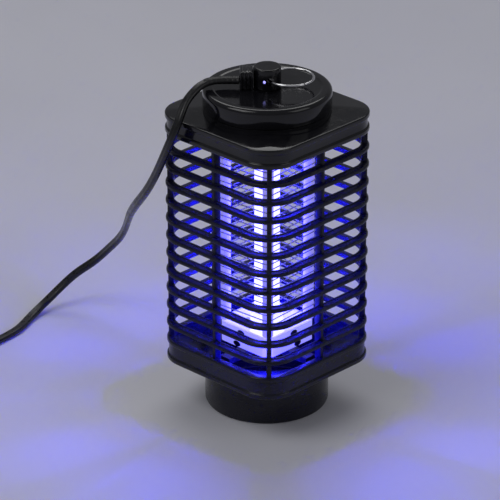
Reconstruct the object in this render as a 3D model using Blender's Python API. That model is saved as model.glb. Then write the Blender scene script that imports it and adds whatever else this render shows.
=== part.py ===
"""Lantern-shaped electric insect killer with its mains lead, in metres, +Z up.

The lamp stands on its catch tray with the origin at the centre of the tray's underside. The flat
sides of the cage face along X and Y. The hanging ring, the post's cross hole and the lead are laid
out on the plan's diagonal: u runs along the diagonal from the lead's exit towards the ring, and
v runs across it.
"""
import math

import bmesh
import bpy
import numpy as np
from mathutils import Matrix, Vector

MM = 0.001
GAP = 0.3                 # clearance between pieces that touch

# Plan of the housing
HALF = 44.0               # centre to the flat outer sides
CORNER = 17.7             # radius of the housing's upright corners
ARC_STEPS = 6             # facets in each rounded corner
SIDE_POINTS = 3           # points along each straight side of the large shells

# Louvres: full rings stacked up the cage
LOUVRE_COUNT = 11
LOUVRE_PITCH = 10.418
LOUVRE_HEIGHT = 2.8
LOUVRE_DEPTH = 4.5
NOSE = 0.8                # how far the louvre's nose runs out to its edge
BASE_TOP = 38.8
SKIRT_BOTTOM = 161.0
FIRST_LOUVRE = 46.42      # underside of the lowest ring

# Upright ribs, notched round the louvres
RIB_WIDTH = 3.0
CORNER_RIB = (47.6, 53.9)     # inner and outer faces, measured along the diagonal
MID_RIB = (36.8, 41.5)        # inner and outer faces, measured from the centre
SQRT2 = math.sqrt(2.0)
NOSE_REACH = HALF * SQRT2 - (SQRT2 - 1.0) * CORNER      # centre to the nose at a corner

# Base and tray
BASE_BOTTOM = 25.7
WALL = 2.2
NECK_RADIUS = (29.5, 31.5)
NECK_BOTTOM = 16.0
FUNNEL_Z = 30.0
TRAY_RADIUS = (31.9, 34.0)
TRAY_TOP = 27.3
TRAY_FLOOR = 2.2
LUG_COUNT = 3
LUG_Z = (21.0, 23.0)
LUG_HALF_ANGLE = 5.0
TWIST = 22.0                  # degrees from locked to free
RECESS = 1.0                  # how far the skirt and the rim stand back between their lips

# Roof, cap and hanger
ROOF_EDGE_Z = 172.2
ROOF_SLOPE = 0.103
EDGE = 0.6                # chamfer on the outer edges of the shells
EAVE_HEIGHT = 2.6
CAP_RADIUS = 34.8
CAP_SEAM_Z = 175.0
CAP_TOP = 186.0
CAP_FILLET = 2.5
POST_RADIUS = 7.4
POST_TOP = 197.8
STEM_RADIUS = 5.0
EYE_Z = 191.0                 # height of the cross hole and of the ring's hinge line
EYE_U = 1.55
EYE_RADIUS = 2.3
RING_RADIUS = 12.2
RING_WIRE = 0.7
RING_U = 12.5

# High-voltage grid and lamp
POST_PLACE = 16.0             # grid posts, along X and along Y from the centre
GRID_POST_RADIUS = 3.0
GRID_WIRE_RADIUS = 0.35
GRID_HALF = POST_PLACE + GRID_POST_RADIUS + GAP + GRID_WIRE_RADIUS
GRID_Z = (50.5, 155.5)
GRID_TURNS = 15
FRAME_HALF = 19.5
LOWER_FRAME_Z = (36.3, 48.0)
UPPER_FRAME_Z = (157.5, 161.3)
PLATE_Z = (161.6, 163.6)
LAMP_LEG = 4.2                # centre to each leg of the U-shaped tube
LAMP_RADIUS = 2.7
LAMP_BASE_RADIUS = 9.5
LAMP_SOCKET_RADIUS = 8.2
LAMP_BASE_TOP = 55.0
SOCKET_BOTTOM = 150.0
BRIDGE_Z = (32.4, 36.0)
FRAME_SCREW = 14.0            # centre to the screws of the upper frame
BRIDGE_SCREW = 14.5           # centre to the screws of the lower frame
SIDE_HOLE_Z = 40.5
SIDE_HOLE_RADIUS = 2.4

# Electronics above the ceiling plate
BOARD_SIZE = (46.0, 36.0, 1.6)
BOARD_Z = 168.0
BOARD_SCREW = (18.0, 13.0)    # places of the board's pillars and screws
CAPACITOR_PITCH = 9.0
CHOKE_RADIUS = 4.2
NUT_REACH = 9.0
NUT_HEIGHT = 3.0
PILOT_RADIUS = 1.5
SCREW_HOLE_RADIUS = 1.55
SCREW_HEAD = 1.5              # height of a screw's head

# Mains lead: a flat twin cord, given by its width
CORD_WIDTH = 5.4
CORD_RADIUS = CORD_WIDTH / 2.0
RELIEF_LENGTH = 20.0
RELIEF_ENDS = (3.25, 2.85)    # radius at the gland and at the free end
GLAND_FACE = -14.7
COIL_CENTRE = (-188.2, 72.3)  # u, v
COIL_RADIUS = 28.0
COIL_HALF_WIDTH = 5.4         # two turns side by side
COIL_HALF_HEIGHT = 3.5        # two turns, one on the other, lying flat
TIE_THICK = 1.0
TIE_WIDTH = 6.0
COIL_Z = COIL_HALF_HEIGHT + GAP + TIE_THICK
TAIL_ANGLE = 150.0            # where the outer turn leaves the coil, in degrees from u
TAIL_SPAN = (20.6, 36.0)      # the tail's ends, measured from where it leaves the coil
PLUG_AXIS_Z = 6.7
PLUG_LENGTH = 34.0
PIN_PLACE = 9.3
PIN_RADIUS = 2.0
PIN_LENGTH = 19.0

# Places the lead passes through, as u, v and height
CORD_ROUTE = [
    (-14.9, 0.0, 189.6), (-25.0, 0.0, 189.6), (-33.6, -3.0, 189.2), (-40.0, -8.0, 185.6),
    (-44.2, -13.0, 181.4), (-46.9, -18.0, 175.5), (-51.7, -19.5, 163.3), (-57.5, -11.0, 145.4),
    (-64.6, 8.0, 122.8), (-70.8, 30.0, 104.4), (-75.0, 52.0, 88.0), (-77.5, 73.0, 72.0),
    (-82.0, 91.0, 55.0), (-89.0, 103.0, 42.2), (-99.5, 112.0, 28.7), (-109.0, 115.0, 20.4),
    (-118.0, 113.5, 12.2), (-127.0, 108.0, 5.8), (-134.5, 96.9, 2.9), (-142.0, 80.0, 2.7),
    (-147.4, 72.8, 2.7), (-151.8, 67.6, 2.7),
]


def diagonal(u, v, z):
    """Place on the diagonal layout, in millimetres."""
    return Vector(((u - v) / SQRT2, (u + v) / SQRT2, z))


def clear_scene():
    for item in list(bpy.data.objects):
        bpy.data.objects.remove(item, do_unlink=True)


def material(name, colour, roughness, metallic=0.0):
    found = bpy.data.materials.get(name)
    if found:
        return found
    made = bpy.data.materials.new(name)
    made.use_nodes = True
    made.diffuse_color = (*colour, 1.0)
    shader = made.node_tree.nodes["Principled BSDF"]
    shader.inputs["Base Color"].default_value = (*colour, 1.0)
    shader.inputs["Roughness"].default_value = roughness
    shader.inputs["Metallic"].default_value = metallic
    return made


def black_plastic(name):
    return material(name, (0.012, 0.012, 0.014), 0.22)


def place(name, mesh, finish, origin=(0.0, 0.0, 0.0), turn=0.0, parent=None):
    """Adds a mesh as a named object; origin is in metres and turn is about Z, in radians."""
    mesh.materials.append(finish)
    item = bpy.data.objects.new(name, mesh)
    item.location = origin
    item.rotation_euler = (0.0, 0.0, turn)
    item.parent = parent
    bpy.context.scene.collection.objects.link(item)
    return item


def mesh_from(name, points, faces, smooth_angle=40.0):
    """Builds a mesh from points in millimetres, with all its faces turned outwards."""
    mesh = bpy.data.meshes.new(name)
    mesh.from_pydata([tuple(c * MM for c in p) for p in points], [], faces)
    work = bmesh.new()
    work.from_mesh(mesh)
    bmesh.ops.recalc_face_normals(work, faces=work.faces)
    work.to_mesh(mesh)
    work.free()
    mesh.shade_smooth()
    mesh.set_sharp_from_angle(angle=math.radians(smooth_angle))
    return mesh


def loft(name, loops, closed=True):
    """Skins loops of equal length; closed joins the last to the first, otherwise both ends are capped."""
    count = len(loops[0])
    points = [p for loop in loops for p in loop]
    faces = []
    for row in range(len(loops) if closed else len(loops) - 1):
        a, b = row * count, (row + 1) % len(loops) * count
        for i in range(count):
            j = (i + 1) % count
            faces.append((a + i, a + j, b + j, b + i))
    if not closed:
        faces.append(tuple(range(count)))
        faces.append(tuple(range((len(loops) - 1) * count, len(loops) * count)))
    return mesh_from(name, points, faces)


def square_loop(half, radius, z, side_points=0):
    """Rounded square, quarter by quarter; z may be a function of the point's x and y."""
    points = []
    for quarter in range(4):
        turn = quarter * math.pi / 2.0
        centre = half - radius
        flat = [(centre + radius * math.cos(a), centre + radius * math.sin(a))
                for a in np.linspace(0.0, math.pi / 2.0, ARC_STEPS + 1)]
        run = [(centre * (1.0 - 2.0 * k / (side_points + 1)), half) for k in range(1, side_points + 1)]
        for x, y in flat + run:
            points.append((x * math.cos(turn) - y * math.sin(turn),
                           x * math.sin(turn) + y * math.cos(turn)))
    return [(x, y, z(x, y) if callable(z) else z) for x, y in points]


def round_loop(radius, z, side_points=0):
    """Circle whose points match those of square_loop one for one."""
    count = 4 * (ARC_STEPS + 1 + side_points)
    step = 2.0 * math.pi / count
    first = math.pi / 4.0 - ARC_STEPS / 2.0 * step
    points = [(radius * math.cos(first + i * step), radius * math.sin(first + i * step))
              for i in range(count)]
    return [(x, y, z(x, y) if callable(z) else z) for x, y in points]


def turned(name, profile, steps=40):
    """Turns a closed outline of (radius, height) about Z; points on the axis are shared."""
    rows = []
    points = []
    for radius, z in profile:
        if radius == 0.0:
            rows.append([len(points)] * steps)
            points.append((0.0, 0.0, z))
            continue
        rows.append(list(range(len(points), len(points) + steps)))
        for i in range(steps):
            angle = 2.0 * math.pi * i / steps
            points.append((radius * math.cos(angle), radius * math.sin(angle), z))
    faces = []
    for row, after in zip(rows, rows[1:] + rows[:1]):
        for i in range(steps):
            j = (i + 1) % steps
            corners = []
            for k in (row[i], row[j], after[j], after[i]):
                if k not in corners:
                    corners.append(k)
            if len(corners) > 2:
                faces.append(tuple(corners))
    return mesh_from(name, points, faces)


def fillet(centre_r, centre_z, radius, steps=3):
    """Quarter round from the top of an outside edge down to its side."""
    return [(centre_r + radius * math.sin(a), centre_z + radius * math.cos(a))
            for a in np.linspace(0.0, math.pi / 2.0, steps + 1)]


def prism(name, outline, low, high, smooth_angle=40.0):
    """Upright solid over an outline of (x, y)."""
    count = len(outline)
    points = [(x, y, low) for x, y in outline] + [(x, y, high) for x, y in outline]
    faces = [tuple(range(count)), tuple(range(count, 2 * count))]
    faces += [(i, (i + 1) % count, count + (i + 1) % count, count + i) for i in range(count)]
    return mesh_from(name, points, faces, smooth_angle)


def rectangle(x0, y0, x1, y1, cut=0.0):
    """Outline of a rectangle with its corners cut off at 45 degrees."""
    if not cut:
        return [(x0, y0), (x1, y0), (x1, y1), (x0, y1)]
    return [(x0 + cut, y0), (x1 - cut, y0), (x1, y0 + cut), (x1, y1 - cut),
            (x1 - cut, y1), (x0 + cut, y1), (x0, y1 - cut), (x0, y0 + cut)]


def arc_block(name, radii, heights, start, end, steps=4):
    """Part of a ring between two angles in degrees."""
    angles = [math.radians(a) for a in np.linspace(start, end, steps + 1)]
    outline = [(radii[1] * math.cos(a), radii[1] * math.sin(a)) for a in angles]
    outline += [(radii[0] * math.cos(a), radii[0] * math.sin(a)) for a in reversed(angles)]
    return prism(name, outline, *heights)


def cut(target, cutters, operation="DIFFERENCE"):
    """Applies a Boolean for each helper mesh and drops the helpers."""
    for number, mesh in enumerate(cutters):
        helper = bpy.data.objects.new(f"{target.name}_tool_{number}", mesh)
        helper.hide_render = True
        helper.display_type = "WIRE"
        bpy.context.scene.collection.objects.link(helper)
        step = target.modifiers.new(f"tool_{number}", "BOOLEAN")
        step.operation = operation
        step.solver = "EXACT"
        step.object = helper
    view = bpy.context.evaluated_depsgraph_get()
    shaped = bpy.data.meshes.new_from_object(target.evaluated_get(view))
    for step in list(target.modifiers):
        if step.type == "BOOLEAN":
            helper = step.object
            target.modifiers.remove(step)
            bpy.data.objects.remove(helper, do_unlink=True)
    target.data = shaped
    shaped.set_sharp_from_angle(angle=math.radians(40.0))


def rod(name, radius, low, high, centre=(0.0, 0.0), steps=16):
    """Plain upright rod."""
    outline = [(centre[0] + radius * math.cos(2.0 * math.pi * i / steps),
                centre[1] + radius * math.sin(2.0 * math.pi * i / steps)) for i in range(steps)]
    return prism(name, outline, low, high)


def tube(name, points, radius, finish, tapers=None, sides=2, parent=None):
    """Closed tube along points in millimetres."""
    curve = bpy.data.curves.new(name, "CURVE")
    curve.dimensions = "3D"
    curve.bevel_depth = radius * MM
    curve.bevel_resolution = sides
    curve.use_fill_caps = True
    spline = curve.splines.new("POLY")
    spline.points.add(len(points) - 1)
    for i, p in enumerate(points):
        spline.points[i].co = (p[0] * MM, p[1] * MM, p[2] * MM, 1.0)
        spline.points[i].radius = tapers[i] if tapers else 1.0
    curve.materials.append(finish)
    item = bpy.data.objects.new(name, curve)
    item.parent = parent
    bpy.context.scene.collection.objects.link(item)
    return item


def smooth_route(places, spacing):
    """Points at even spacing on the natural cubic curve through the given places."""
    at = np.array(places)
    knots = np.concatenate([[0.0], np.cumsum(np.linalg.norm(np.diff(at, axis=0), axis=1))])
    span = np.diff(knots)
    size = len(at)
    system = np.eye(size)
    right = np.zeros((size, 3))
    for i in range(1, size - 1):
        system[i, i - 1:i + 2] = span[i - 1], 2.0 * (span[i - 1] + span[i]), span[i]
        right[i] = 6.0 * ((at[i + 1] - at[i]) / span[i] - (at[i] - at[i - 1]) / span[i - 1])
    bend = np.linalg.solve(system, right)
    fine = []
    for s in np.linspace(0.0, knots[-1], 2000):
        i = min(int(np.searchsorted(knots, s, side="right")) - 1, size - 2)
        h = span[i]
        a, b = (knots[i + 1] - s) / h, (s - knots[i]) / h
        fine.append(a * at[i] + b * at[i + 1]
                    + ((a ** 3 - a) * bend[i] + (b ** 3 - b) * bend[i + 1]) * h * h / 6.0)
    fine = np.array(fine)
    length = np.concatenate([[0.0], np.cumsum(np.linalg.norm(np.diff(fine, axis=0), axis=1))])
    steps = max(2, round(length[-1] / spacing))
    wanted = np.linspace(0.0, length[-1], steps + 1)
    return [Vector([float(np.interp(s, length, fine[:, k])) for k in range(3)]) for s in wanted]


def roof_height(x, y):
    """Height of the hipped roof over a place in the plan."""
    return ROOF_EDGE_Z + ROOF_SLOPE * (HALF - EDGE - max(abs(x), abs(y)))


def make_top_cover():
    """Hipped roof with its skirt below and a low collar for the round cap."""
    n = SIDE_POINTS
    inner = HALF - 2.4
    collar = CAP_RADIUS - GAP
    lip = SKIRT_BOTTOM + LOUVRE_HEIGHT
    eave = ROOF_EDGE_Z - EAVE_HEIGHT
    loops = [
        square_loop(HALF, CORNER, SKIRT_BOTTOM, n),
        square_loop(HALF, CORNER, lip, n),
        square_loop(HALF - RECESS, CORNER - RECESS, lip + EDGE, n),
        square_loop(HALF - RECESS, CORNER - RECESS, eave - EDGE, n),
        square_loop(HALF, CORNER, eave, n),
        square_loop(HALF, CORNER, ROOF_EDGE_Z - EDGE, n),
        square_loop(HALF - EDGE, CORNER - EDGE, ROOF_EDGE_Z, n),
        round_loop(collar, roof_height, n),
        round_loop(collar, CAP_SEAM_Z, n),
        round_loop(collar - 2.2, CAP_SEAM_Z, n),
        round_loop(collar - 2.2, 171.4, n),
        square_loop(inner, CORNER - 2.4, 169.8, n),
        square_loop(inner, CORNER - 2.4, SKIRT_BOTTOM, n),
    ]
    place("top_cover", loft("top_cover", loops), black_plastic("roof_plastic"))


def make_round_cap():
    inside = CAP_RADIUS - 2.2
    spigot = CAP_RADIUS - GAP - 2.2 - GAP
    profile = [(STEM_RADIUS + GAP, CAP_TOP)]
    profile += fillet(CAP_RADIUS - CAP_FILLET, CAP_TOP - CAP_FILLET, CAP_FILLET)
    profile += [(CAP_RADIUS, CAP_SEAM_Z + GAP), (spigot, CAP_SEAM_Z + GAP),
                (spigot, CAP_SEAM_Z - 2.2), (spigot - 1.7, CAP_SEAM_Z - 2.2),
                (spigot - 1.7, CAP_SEAM_Z + 1.0), (inside - 1.0, CAP_TOP - 4.0),
                (inside - 3.0, CAP_TOP - 2.0), (STEM_RADIUS + GAP, CAP_TOP - 2.0)]
    place("round_cap", turned("round_cap", profile), black_plastic("cap_plastic"))


def make_hanger():
    """Post with its threaded stem through the cap, the nut below, and the ring in its cross hole."""
    base = CAP_TOP + GAP
    profile = [(0.0, POST_TOP), (POST_RADIUS - 1.0, POST_TOP), (POST_RADIUS - 0.3, POST_TOP - 0.3),
               (POST_RADIUS, POST_TOP - 1.0), (POST_RADIUS, base), (STEM_RADIUS, base),
               (STEM_RADIUS, 179.5), (0.0, 179.5)]
    post = place("hanger_post", turned("hanger_post", profile, 32), black_plastic("post_plastic"),
                 turn=math.pi / 4.0)
    eye = rod("eye", EYE_RADIUS, -10.0, 10.0)
    eye.transform(Matrix.Translation(diagonal(EYE_U, 0.0, EYE_Z) * MM)
                  @ Matrix.Rotation(math.pi / 4.0, 4, "Z") @ Matrix.Rotation(math.pi / 2.0, 4, "X"))
    cut(post, [eye])

    nut_face = CAP_TOP - 2.0 - GAP
    outline = [(NUT_REACH * math.cos(math.radians(60 * i)), NUT_REACH * math.sin(math.radians(60 * i)))
               for i in range(6)]
    nut = place("stem_nut", prism("stem_nut", outline, nut_face - NUT_HEIGHT, nut_face),
                material("nut_steel", (0.62, 0.62, 0.63), 0.35, 1.0))
    cut(nut, [rod("nut_bore", STEM_RADIUS + GAP, nut_face - NUT_HEIGHT - 1.0, nut_face + 1.0, steps=32)])


def make_hanging_ring():
    """Wire ring on a hinge line along the cross hole; its parent empty stands on that line."""
    hinge = bpy.data.objects.new("ring_hinge", None)
    hinge.location = diagonal(EYE_U, 0.0, EYE_Z) * MM
    hinge.rotation_euler = (0.0, 0.0, math.pi / 4.0)
    bpy.context.scene.collection.objects.link(hinge)
    section = [(RING_RADIUS + RING_WIRE * math.cos(a), RING_WIRE * math.sin(a))
               for a in np.linspace(0.0, 2.0 * math.pi, 7)[:-1]]
    place("hanging_ring", turned("hanging_ring", section, 40),
          material("ring_chrome", (0.75, 0.76, 0.78), 0.12, 1.0),
          origin=((RING_U - EYE_U) * MM, 0.0, 0.0), parent=hinge)


def make_cord_gland():
    """Block on the post's side, with upright grooves down its two long faces."""
    near, far, half = -POST_RADIUS - 0.35, GLAND_FACE, 5.5
    grooves = 3
    pitch = (near - far) / (2 * grooves + 1)
    side = []
    for i in range(grooves):
        start = far + pitch * (2 * i + 1)
        side += [(start, half), (start, half - 0.8), (start + pitch, half - 0.8), (start + pitch, half)]
    outline = [(near, -half), (near, half)] + side[::-1]
    outline += [(far, half), (far, -half)] + [(u, -v) for u, v in side]
    mesh = prism("cord_gland", outline, CAP_TOP + GAP, 196.0, smooth_angle=20.0)
    place("cord_gland", mesh, black_plastic("gland_plastic"), turn=math.pi / 4.0)


def make_louvres():
    """Rings with a pointed nose, stacked at an even pitch between the base and the skirt."""
    section = [(LOUVRE_DEPTH, 0.0), (NOSE, 0.0), (0.0, LOUVRE_HEIGHT / 2.0),
               (NOSE, LOUVRE_HEIGHT), (LOUVRE_DEPTH, LOUVRE_HEIGHT)]
    loops = [square_loop(HALF - depth, CORNER - depth, z) for depth, z in section]
    for number in range(LOUVRE_COUNT):
        z = FIRST_LOUVRE + number * LOUVRE_PITCH
        place(f"louvre_{number + 1:02d}", loft(f"louvre_{number + 1:02d}", loops),
              black_plastic("cage_plastic"), origin=(0.0, 0.0, z * MM))


def comb_outline(inner, backbone, outer):
    """Side view of a rib as (reach, height): a backbone with teeth between the louvres."""
    outline = [(inner, BASE_TOP + GAP), (outer, BASE_TOP + GAP)]
    for number in range(LOUVRE_COUNT):
        z = FIRST_LOUVRE + number * LOUVRE_PITCH
        outline += [(outer, z - GAP), (backbone, z - GAP),
                    (backbone, z + LOUVRE_HEIGHT + GAP), (outer, z + LOUVRE_HEIGHT + GAP)]
    return outline + [(outer, SKIRT_BOTTOM - GAP), (inner, SKIRT_BOTTOM - GAP)]


def make_ribs():
    """Four ribs at the corners and four at the middles of the sides."""
    kinds = (
        ("corner_rib", math.pi / 4.0, CORNER_RIB, NOSE_REACH - LOUVRE_DEPTH - GAP),
        ("mid_rib", 0.0, MID_RIB, HALF - LOUVRE_DEPTH - GAP),
    )
    for name, first, (inner, outer), backbone in kinds:
        for number in range(4):
            flat = prism(f"{name}_{number + 1}", comb_outline(inner, backbone, outer),
                         -RIB_WIDTH / 2.0, RIB_WIDTH / 2.0, smooth_angle=10.0)
            flat.transform(Matrix.Rotation(math.pi / 2.0, 4, "X"))
            place(f"{name}_{number + 1}", flat, black_plastic("cage_plastic"),
                  turn=first + number * math.pi / 2.0)


def make_base():
    """Rim with a sloping floor that leads down a neck; the neck has L-shaped slots for the tray."""
    n = SIDE_POINTS
    under = HALF - WALL
    foot = BASE_BOTTOM + EAVE_HEIGHT
    lip = BASE_TOP - LOUVRE_HEIGHT
    loops = [
        square_loop(HALF, CORNER, BASE_BOTTOM, n),
        square_loop(HALF, CORNER, foot, n),
        square_loop(HALF - RECESS, CORNER - RECESS, foot + EDGE, n),
        square_loop(HALF - RECESS, CORNER - RECESS, lip - EDGE, n),
        square_loop(HALF, CORNER, lip, n),
        square_loop(HALF, CORNER, BASE_TOP, n),
        square_loop(HALF - LOUVRE_DEPTH, CORNER - LOUVRE_DEPTH, BASE_TOP, n),
        square_loop(HALF - LOUVRE_DEPTH, CORNER - LOUVRE_DEPTH, BASE_TOP - 2.6, n),
        round_loop(NECK_RADIUS[0], FUNNEL_Z, n),
        round_loop(NECK_RADIUS[0], NECK_BOTTOM, n),
        round_loop(NECK_RADIUS[1], NECK_BOTTOM, n),
        round_loop(NECK_RADIUS[1], FUNNEL_Z - 1.4, n),
        square_loop(under, CORNER - WALL, BASE_TOP - 4.8, n),
        square_loop(under, CORNER - WALL, BASE_BOTTOM, n),
    ]
    base = place("base_housing", loft("base_housing", loops), black_plastic("base_plastic"))
    radii = (NECK_RADIUS[0] - 1.0, NECK_RADIUS[1] + 0.2)
    room = 1.5
    slots = []
    for number in range(LUG_COUNT):
        a = number * 360.0 / LUG_COUNT
        low = a - LUG_HALF_ANGLE - room
        high = a + TWIST + LUG_HALF_ANGLE + room
        entry = a + TWIST - LUG_HALF_ANGLE - room
        slots.append(arc_block("slot", radii, (LUG_Z[0] - 0.6, LUG_Z[1] + 0.6), low, high))
        slots.append(arc_block("entry", radii, (NECK_BOTTOM - 1.0, LUG_Z[0]), entry, high))
    cut(base, slots)


def make_tray():
    """Round cup that catches what falls through the neck; three lugs inside its wall lock it."""
    inner, outer = TRAY_RADIUS
    profile = [(0.0, 0.0), (outer - 1.6, 0.0), (outer - 0.5, 0.5), (outer, 1.6), (outer, TRAY_TOP),
               (inner, TRAY_TOP), (inner, TRAY_FLOOR), (0.0, TRAY_FLOOR)]
    tray = place("catch_tray", turned("catch_tray", profile, 48), black_plastic("tray_plastic"))
    lugs = []
    for number in range(LUG_COUNT):
        a = number * 360.0 / LUG_COUNT
        lugs.append(arc_block("lug", (NECK_RADIUS[0] + 0.7, inner + 0.8), LUG_Z,
                              a - LUG_HALF_ANGLE, a + LUG_HALF_ANGLE, 2))
    cut(tray, lugs, "UNION")


def screw(name, x, y, head_z, head_height, tip_z, point_up=False):
    """Pan-head screw; the head's bearing face is at head_z and the shank runs to tip_z."""
    side = -1.0 if point_up else 1.0
    profile = [(0.0, head_z + side * head_height), (1.9, head_z + side * head_height),
               (2.4, head_z + side * head_height * 0.5), (2.4, head_z), (1.2, head_z),
               (1.2, tip_z), (0.0, tip_z)]
    place(name, turned(name, profile, 12), material("screw_steel", (0.55, 0.55, 0.57), 0.3, 1.0),
          origin=(x * MM, y * MM, 0.0))


def screw_places(reach):
    """Two places opposite each other, between the grid posts."""
    return [(reach, 0.0), (-reach, 0.0)]


def make_ceiling_plate():
    """Plate inside the skirt that carries the circuit board above and the grid below."""
    outline = [(x, y) for x, y, _ in square_loop(HALF - 2.8, CORNER - 2.8, 0.0)]
    plate = place("ceiling_plate", prism("ceiling_plate", outline, *PLATE_Z),
                  black_plastic("plate_plastic"))
    low, high = PLATE_Z
    pillars = [rod("pillar", 2.6, low + 0.5, BOARD_Z - GAP, (x * BOARD_SCREW[0], y * BOARD_SCREW[1]), 12)
               for x in (-1, 1) for y in (-1, 1)]
    cut(plate, pillars, "UNION")
    holes = [rod("socket_hole", LAMP_SOCKET_RADIUS + 0.4, low - 1.0, high + 1.0, steps=32)]
    holes += [rod("screw_hole", SCREW_HOLE_RADIUS, low - 1.0, high + 1.0, place_, 12)
              for place_ in screw_places(FRAME_SCREW)]
    holes += [rod("board_pilot", PILOT_RADIUS, high + 1.0, BOARD_Z + 1.0,
                  (side * BOARD_SCREW[0], side * BOARD_SCREW[1]), 12) for side in (-1, 1)]
    cut(plate, holes)


def make_grid_frames():
    """Two insulating frames that hold the posts at the top and at the bottom of the grid."""
    ivory = material("frame_plastic", (0.82, 0.83, 0.88), 0.45)
    outline = rectangle(-FRAME_HALF, -FRAME_HALF, FRAME_HALF, FRAME_HALF, 4.0)
    upper = place("upper_frame", prism("upper_frame", outline, *UPPER_FRAME_Z), ivory)
    low, high = UPPER_FRAME_Z
    cut(upper, [rod("socket_hole", LAMP_SOCKET_RADIUS + 0.4, low - 1.0, high + 1.0, steps=32)]
        + [rod("pilot", PILOT_RADIUS, low + 0.7, high + 1.0, at, 12) for at in screw_places(FRAME_SCREW)])
    lower = place("lower_frame", prism("lower_frame", outline, *LOWER_FRAME_Z), ivory)
    low, high = LOWER_FRAME_Z
    tools = [rod("lamp_hole", LAMP_BASE_RADIUS + 0.4, low - 1.0, high + 1.0, steps=32)]
    tools += [rod("pilot", PILOT_RADIUS, low - 1.0, low + 7.0, at, 12) for at in screw_places(BRIDGE_SCREW)]
    for side in range(4):
        hole = rod("side_hole", SIDE_HOLE_RADIUS, FRAME_HALF - 3.1, FRAME_HALF + 1.0, steps=16)
        hole.transform(Matrix.Rotation(side * math.pi / 2.0, 4, "Z")
                       @ Matrix.Translation((0.0, 0.0, SIDE_HOLE_Z * MM))
                       @ Matrix.Rotation(math.pi / 2.0, 4, "Y"))
        tools.append(hole)
    cut(lower, tools)


def make_grid_posts():
    low, high = LOWER_FRAME_Z[1] + GAP, UPPER_FRAME_Z[0] - GAP
    for number in range(4):
        turn = math.pi / 4.0 + number * math.pi / 2.0
        at = (math.copysign(POST_PLACE, math.cos(turn)) * MM,
              math.copysign(POST_PLACE, math.sin(turn)) * MM, 0.0)
        place(f"grid_post_{number + 1}", rod(f"grid_post_{number + 1}", GRID_POST_RADIUS, low, high),
              material("post_white", (0.85, 0.86, 0.92), 0.4), origin=at)


def make_grid_wires():
    """Two bare wires wound side by side round the four posts, each on every other turn."""
    bend = GRID_HALF - POST_PLACE
    reach = bend / math.cos(math.radians(22.5))
    pitch = (GRID_Z[1] - GRID_Z[0]) / (GRID_TURNS + 0.5)
    corner_side = math.pi / 2.0 * bend
    straight = 2.0 * POST_PLACE
    around = 4.0 * (straight + corner_side)
    for name, start in (("grid_wire_live", 0.0), ("grid_wire_return", 0.5)):
        points = []
        for turn in range(GRID_TURNS):
            for corner in range(4):
                for half, angle in enumerate((22.5, 67.5)):
                    a = math.radians(angle + 90.0 * corner)
                    x = math.copysign(POST_PLACE, math.cos(math.radians(45.0 + 90.0 * corner)))
                    y = math.copysign(POST_PLACE, math.sin(math.radians(45.0 + 90.0 * corner)))
                    run = corner * (straight + corner_side) + half * corner_side
                    z = GRID_Z[0] + pitch * (start + turn + run / around)
                    points.append((x + reach * math.cos(a), y + reach * math.sin(a), z))
        tube(name, points, GRID_WIRE_RADIUS, material("grid_steel", (0.6, 0.6, 0.65), 0.3, 1.0), sides=0)


def make_lamp():
    """Ultraviolet lamp: a U-shaped tube, its holder below, and the stop above its bend."""
    white = material("lamp_white", (0.92, 0.93, 1.0), 0.3)
    low = LAMP_BASE_TOP + GAP
    bend = SOCKET_BOTTOM - GAP - LAMP_RADIUS - LAMP_LEG
    path = [diagonal(-LAMP_LEG, 0.0, low)]
    path += [diagonal(-LAMP_LEG * math.cos(a), 0.0, bend + LAMP_LEG * math.sin(a))
             for a in np.linspace(0.0, math.pi, 11)]
    path.append(diagonal(LAMP_LEG, 0.0, low))
    tube("lamp_tube", path, LAMP_RADIUS, white)
    foot = BRIDGE_Z[1] + GAP
    place("lamp_base", turned("lamp_base", [(0.0, LAMP_BASE_TOP), (LAMP_BASE_RADIUS - 1.0, LAMP_BASE_TOP),
                                            (LAMP_BASE_RADIUS, LAMP_BASE_TOP - 1.0),
                                            (LAMP_BASE_RADIUS, foot + 2.0),
                                            (LAMP_BASE_RADIUS - 2.0, foot), (0.0, foot)], 32), white)
    place("lamp_socket", rod("lamp_socket", LAMP_SOCKET_RADIUS, SOCKET_BOTTOM, 167.2, steps=32),
          material("socket_white", (0.8, 0.8, 0.82), 0.5))


def make_bridge():
    """Cross that spans the neck and carries the lower frame and the lamp."""
    reach, half = 33.0, 3.5
    arms = [(half, half), (half, reach), (-half, reach), (-half, half), (-reach, half),
            (-reach, -half), (-half, -half), (-half, -reach), (half, -reach), (half, -half),
            (reach, -half), (reach, half)]
    bridge = place("support_bridge", prism("support_bridge", arms, *BRIDGE_Z),
                   black_plastic("bridge_plastic"))
    cut(bridge, [rod("screw_hole", SCREW_HOLE_RADIUS, BRIDGE_Z[0] - 1.0, BRIDGE_Z[1] + 1.0, at, 12)
                 for at in screw_places(BRIDGE_SCREW)])


def make_screws():
    for number, (x, y) in enumerate(screw_places(FRAME_SCREW)):
        screw(f"frame_screw_{number + 1}", x, y, PLATE_Z[1] + GAP, SCREW_HEAD, UPPER_FRAME_Z[0] + 1.0)
    for number, (x, y) in enumerate(screw_places(BRIDGE_SCREW)):
        screw(f"bridge_screw_{number + 1}", x, y, BRIDGE_Z[0] - GAP, SCREW_HEAD, LOWER_FRAME_Z[0] + 6.7,
              point_up=True)
    for number, side in enumerate((-1, 1)):
        screw(f"board_screw_{number + 1}", side * BOARD_SCREW[0], side * BOARD_SCREW[1],
              BOARD_Z + BOARD_SIZE[2] + GAP, SCREW_HEAD, PLATE_Z[1] + 1.4)


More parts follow.
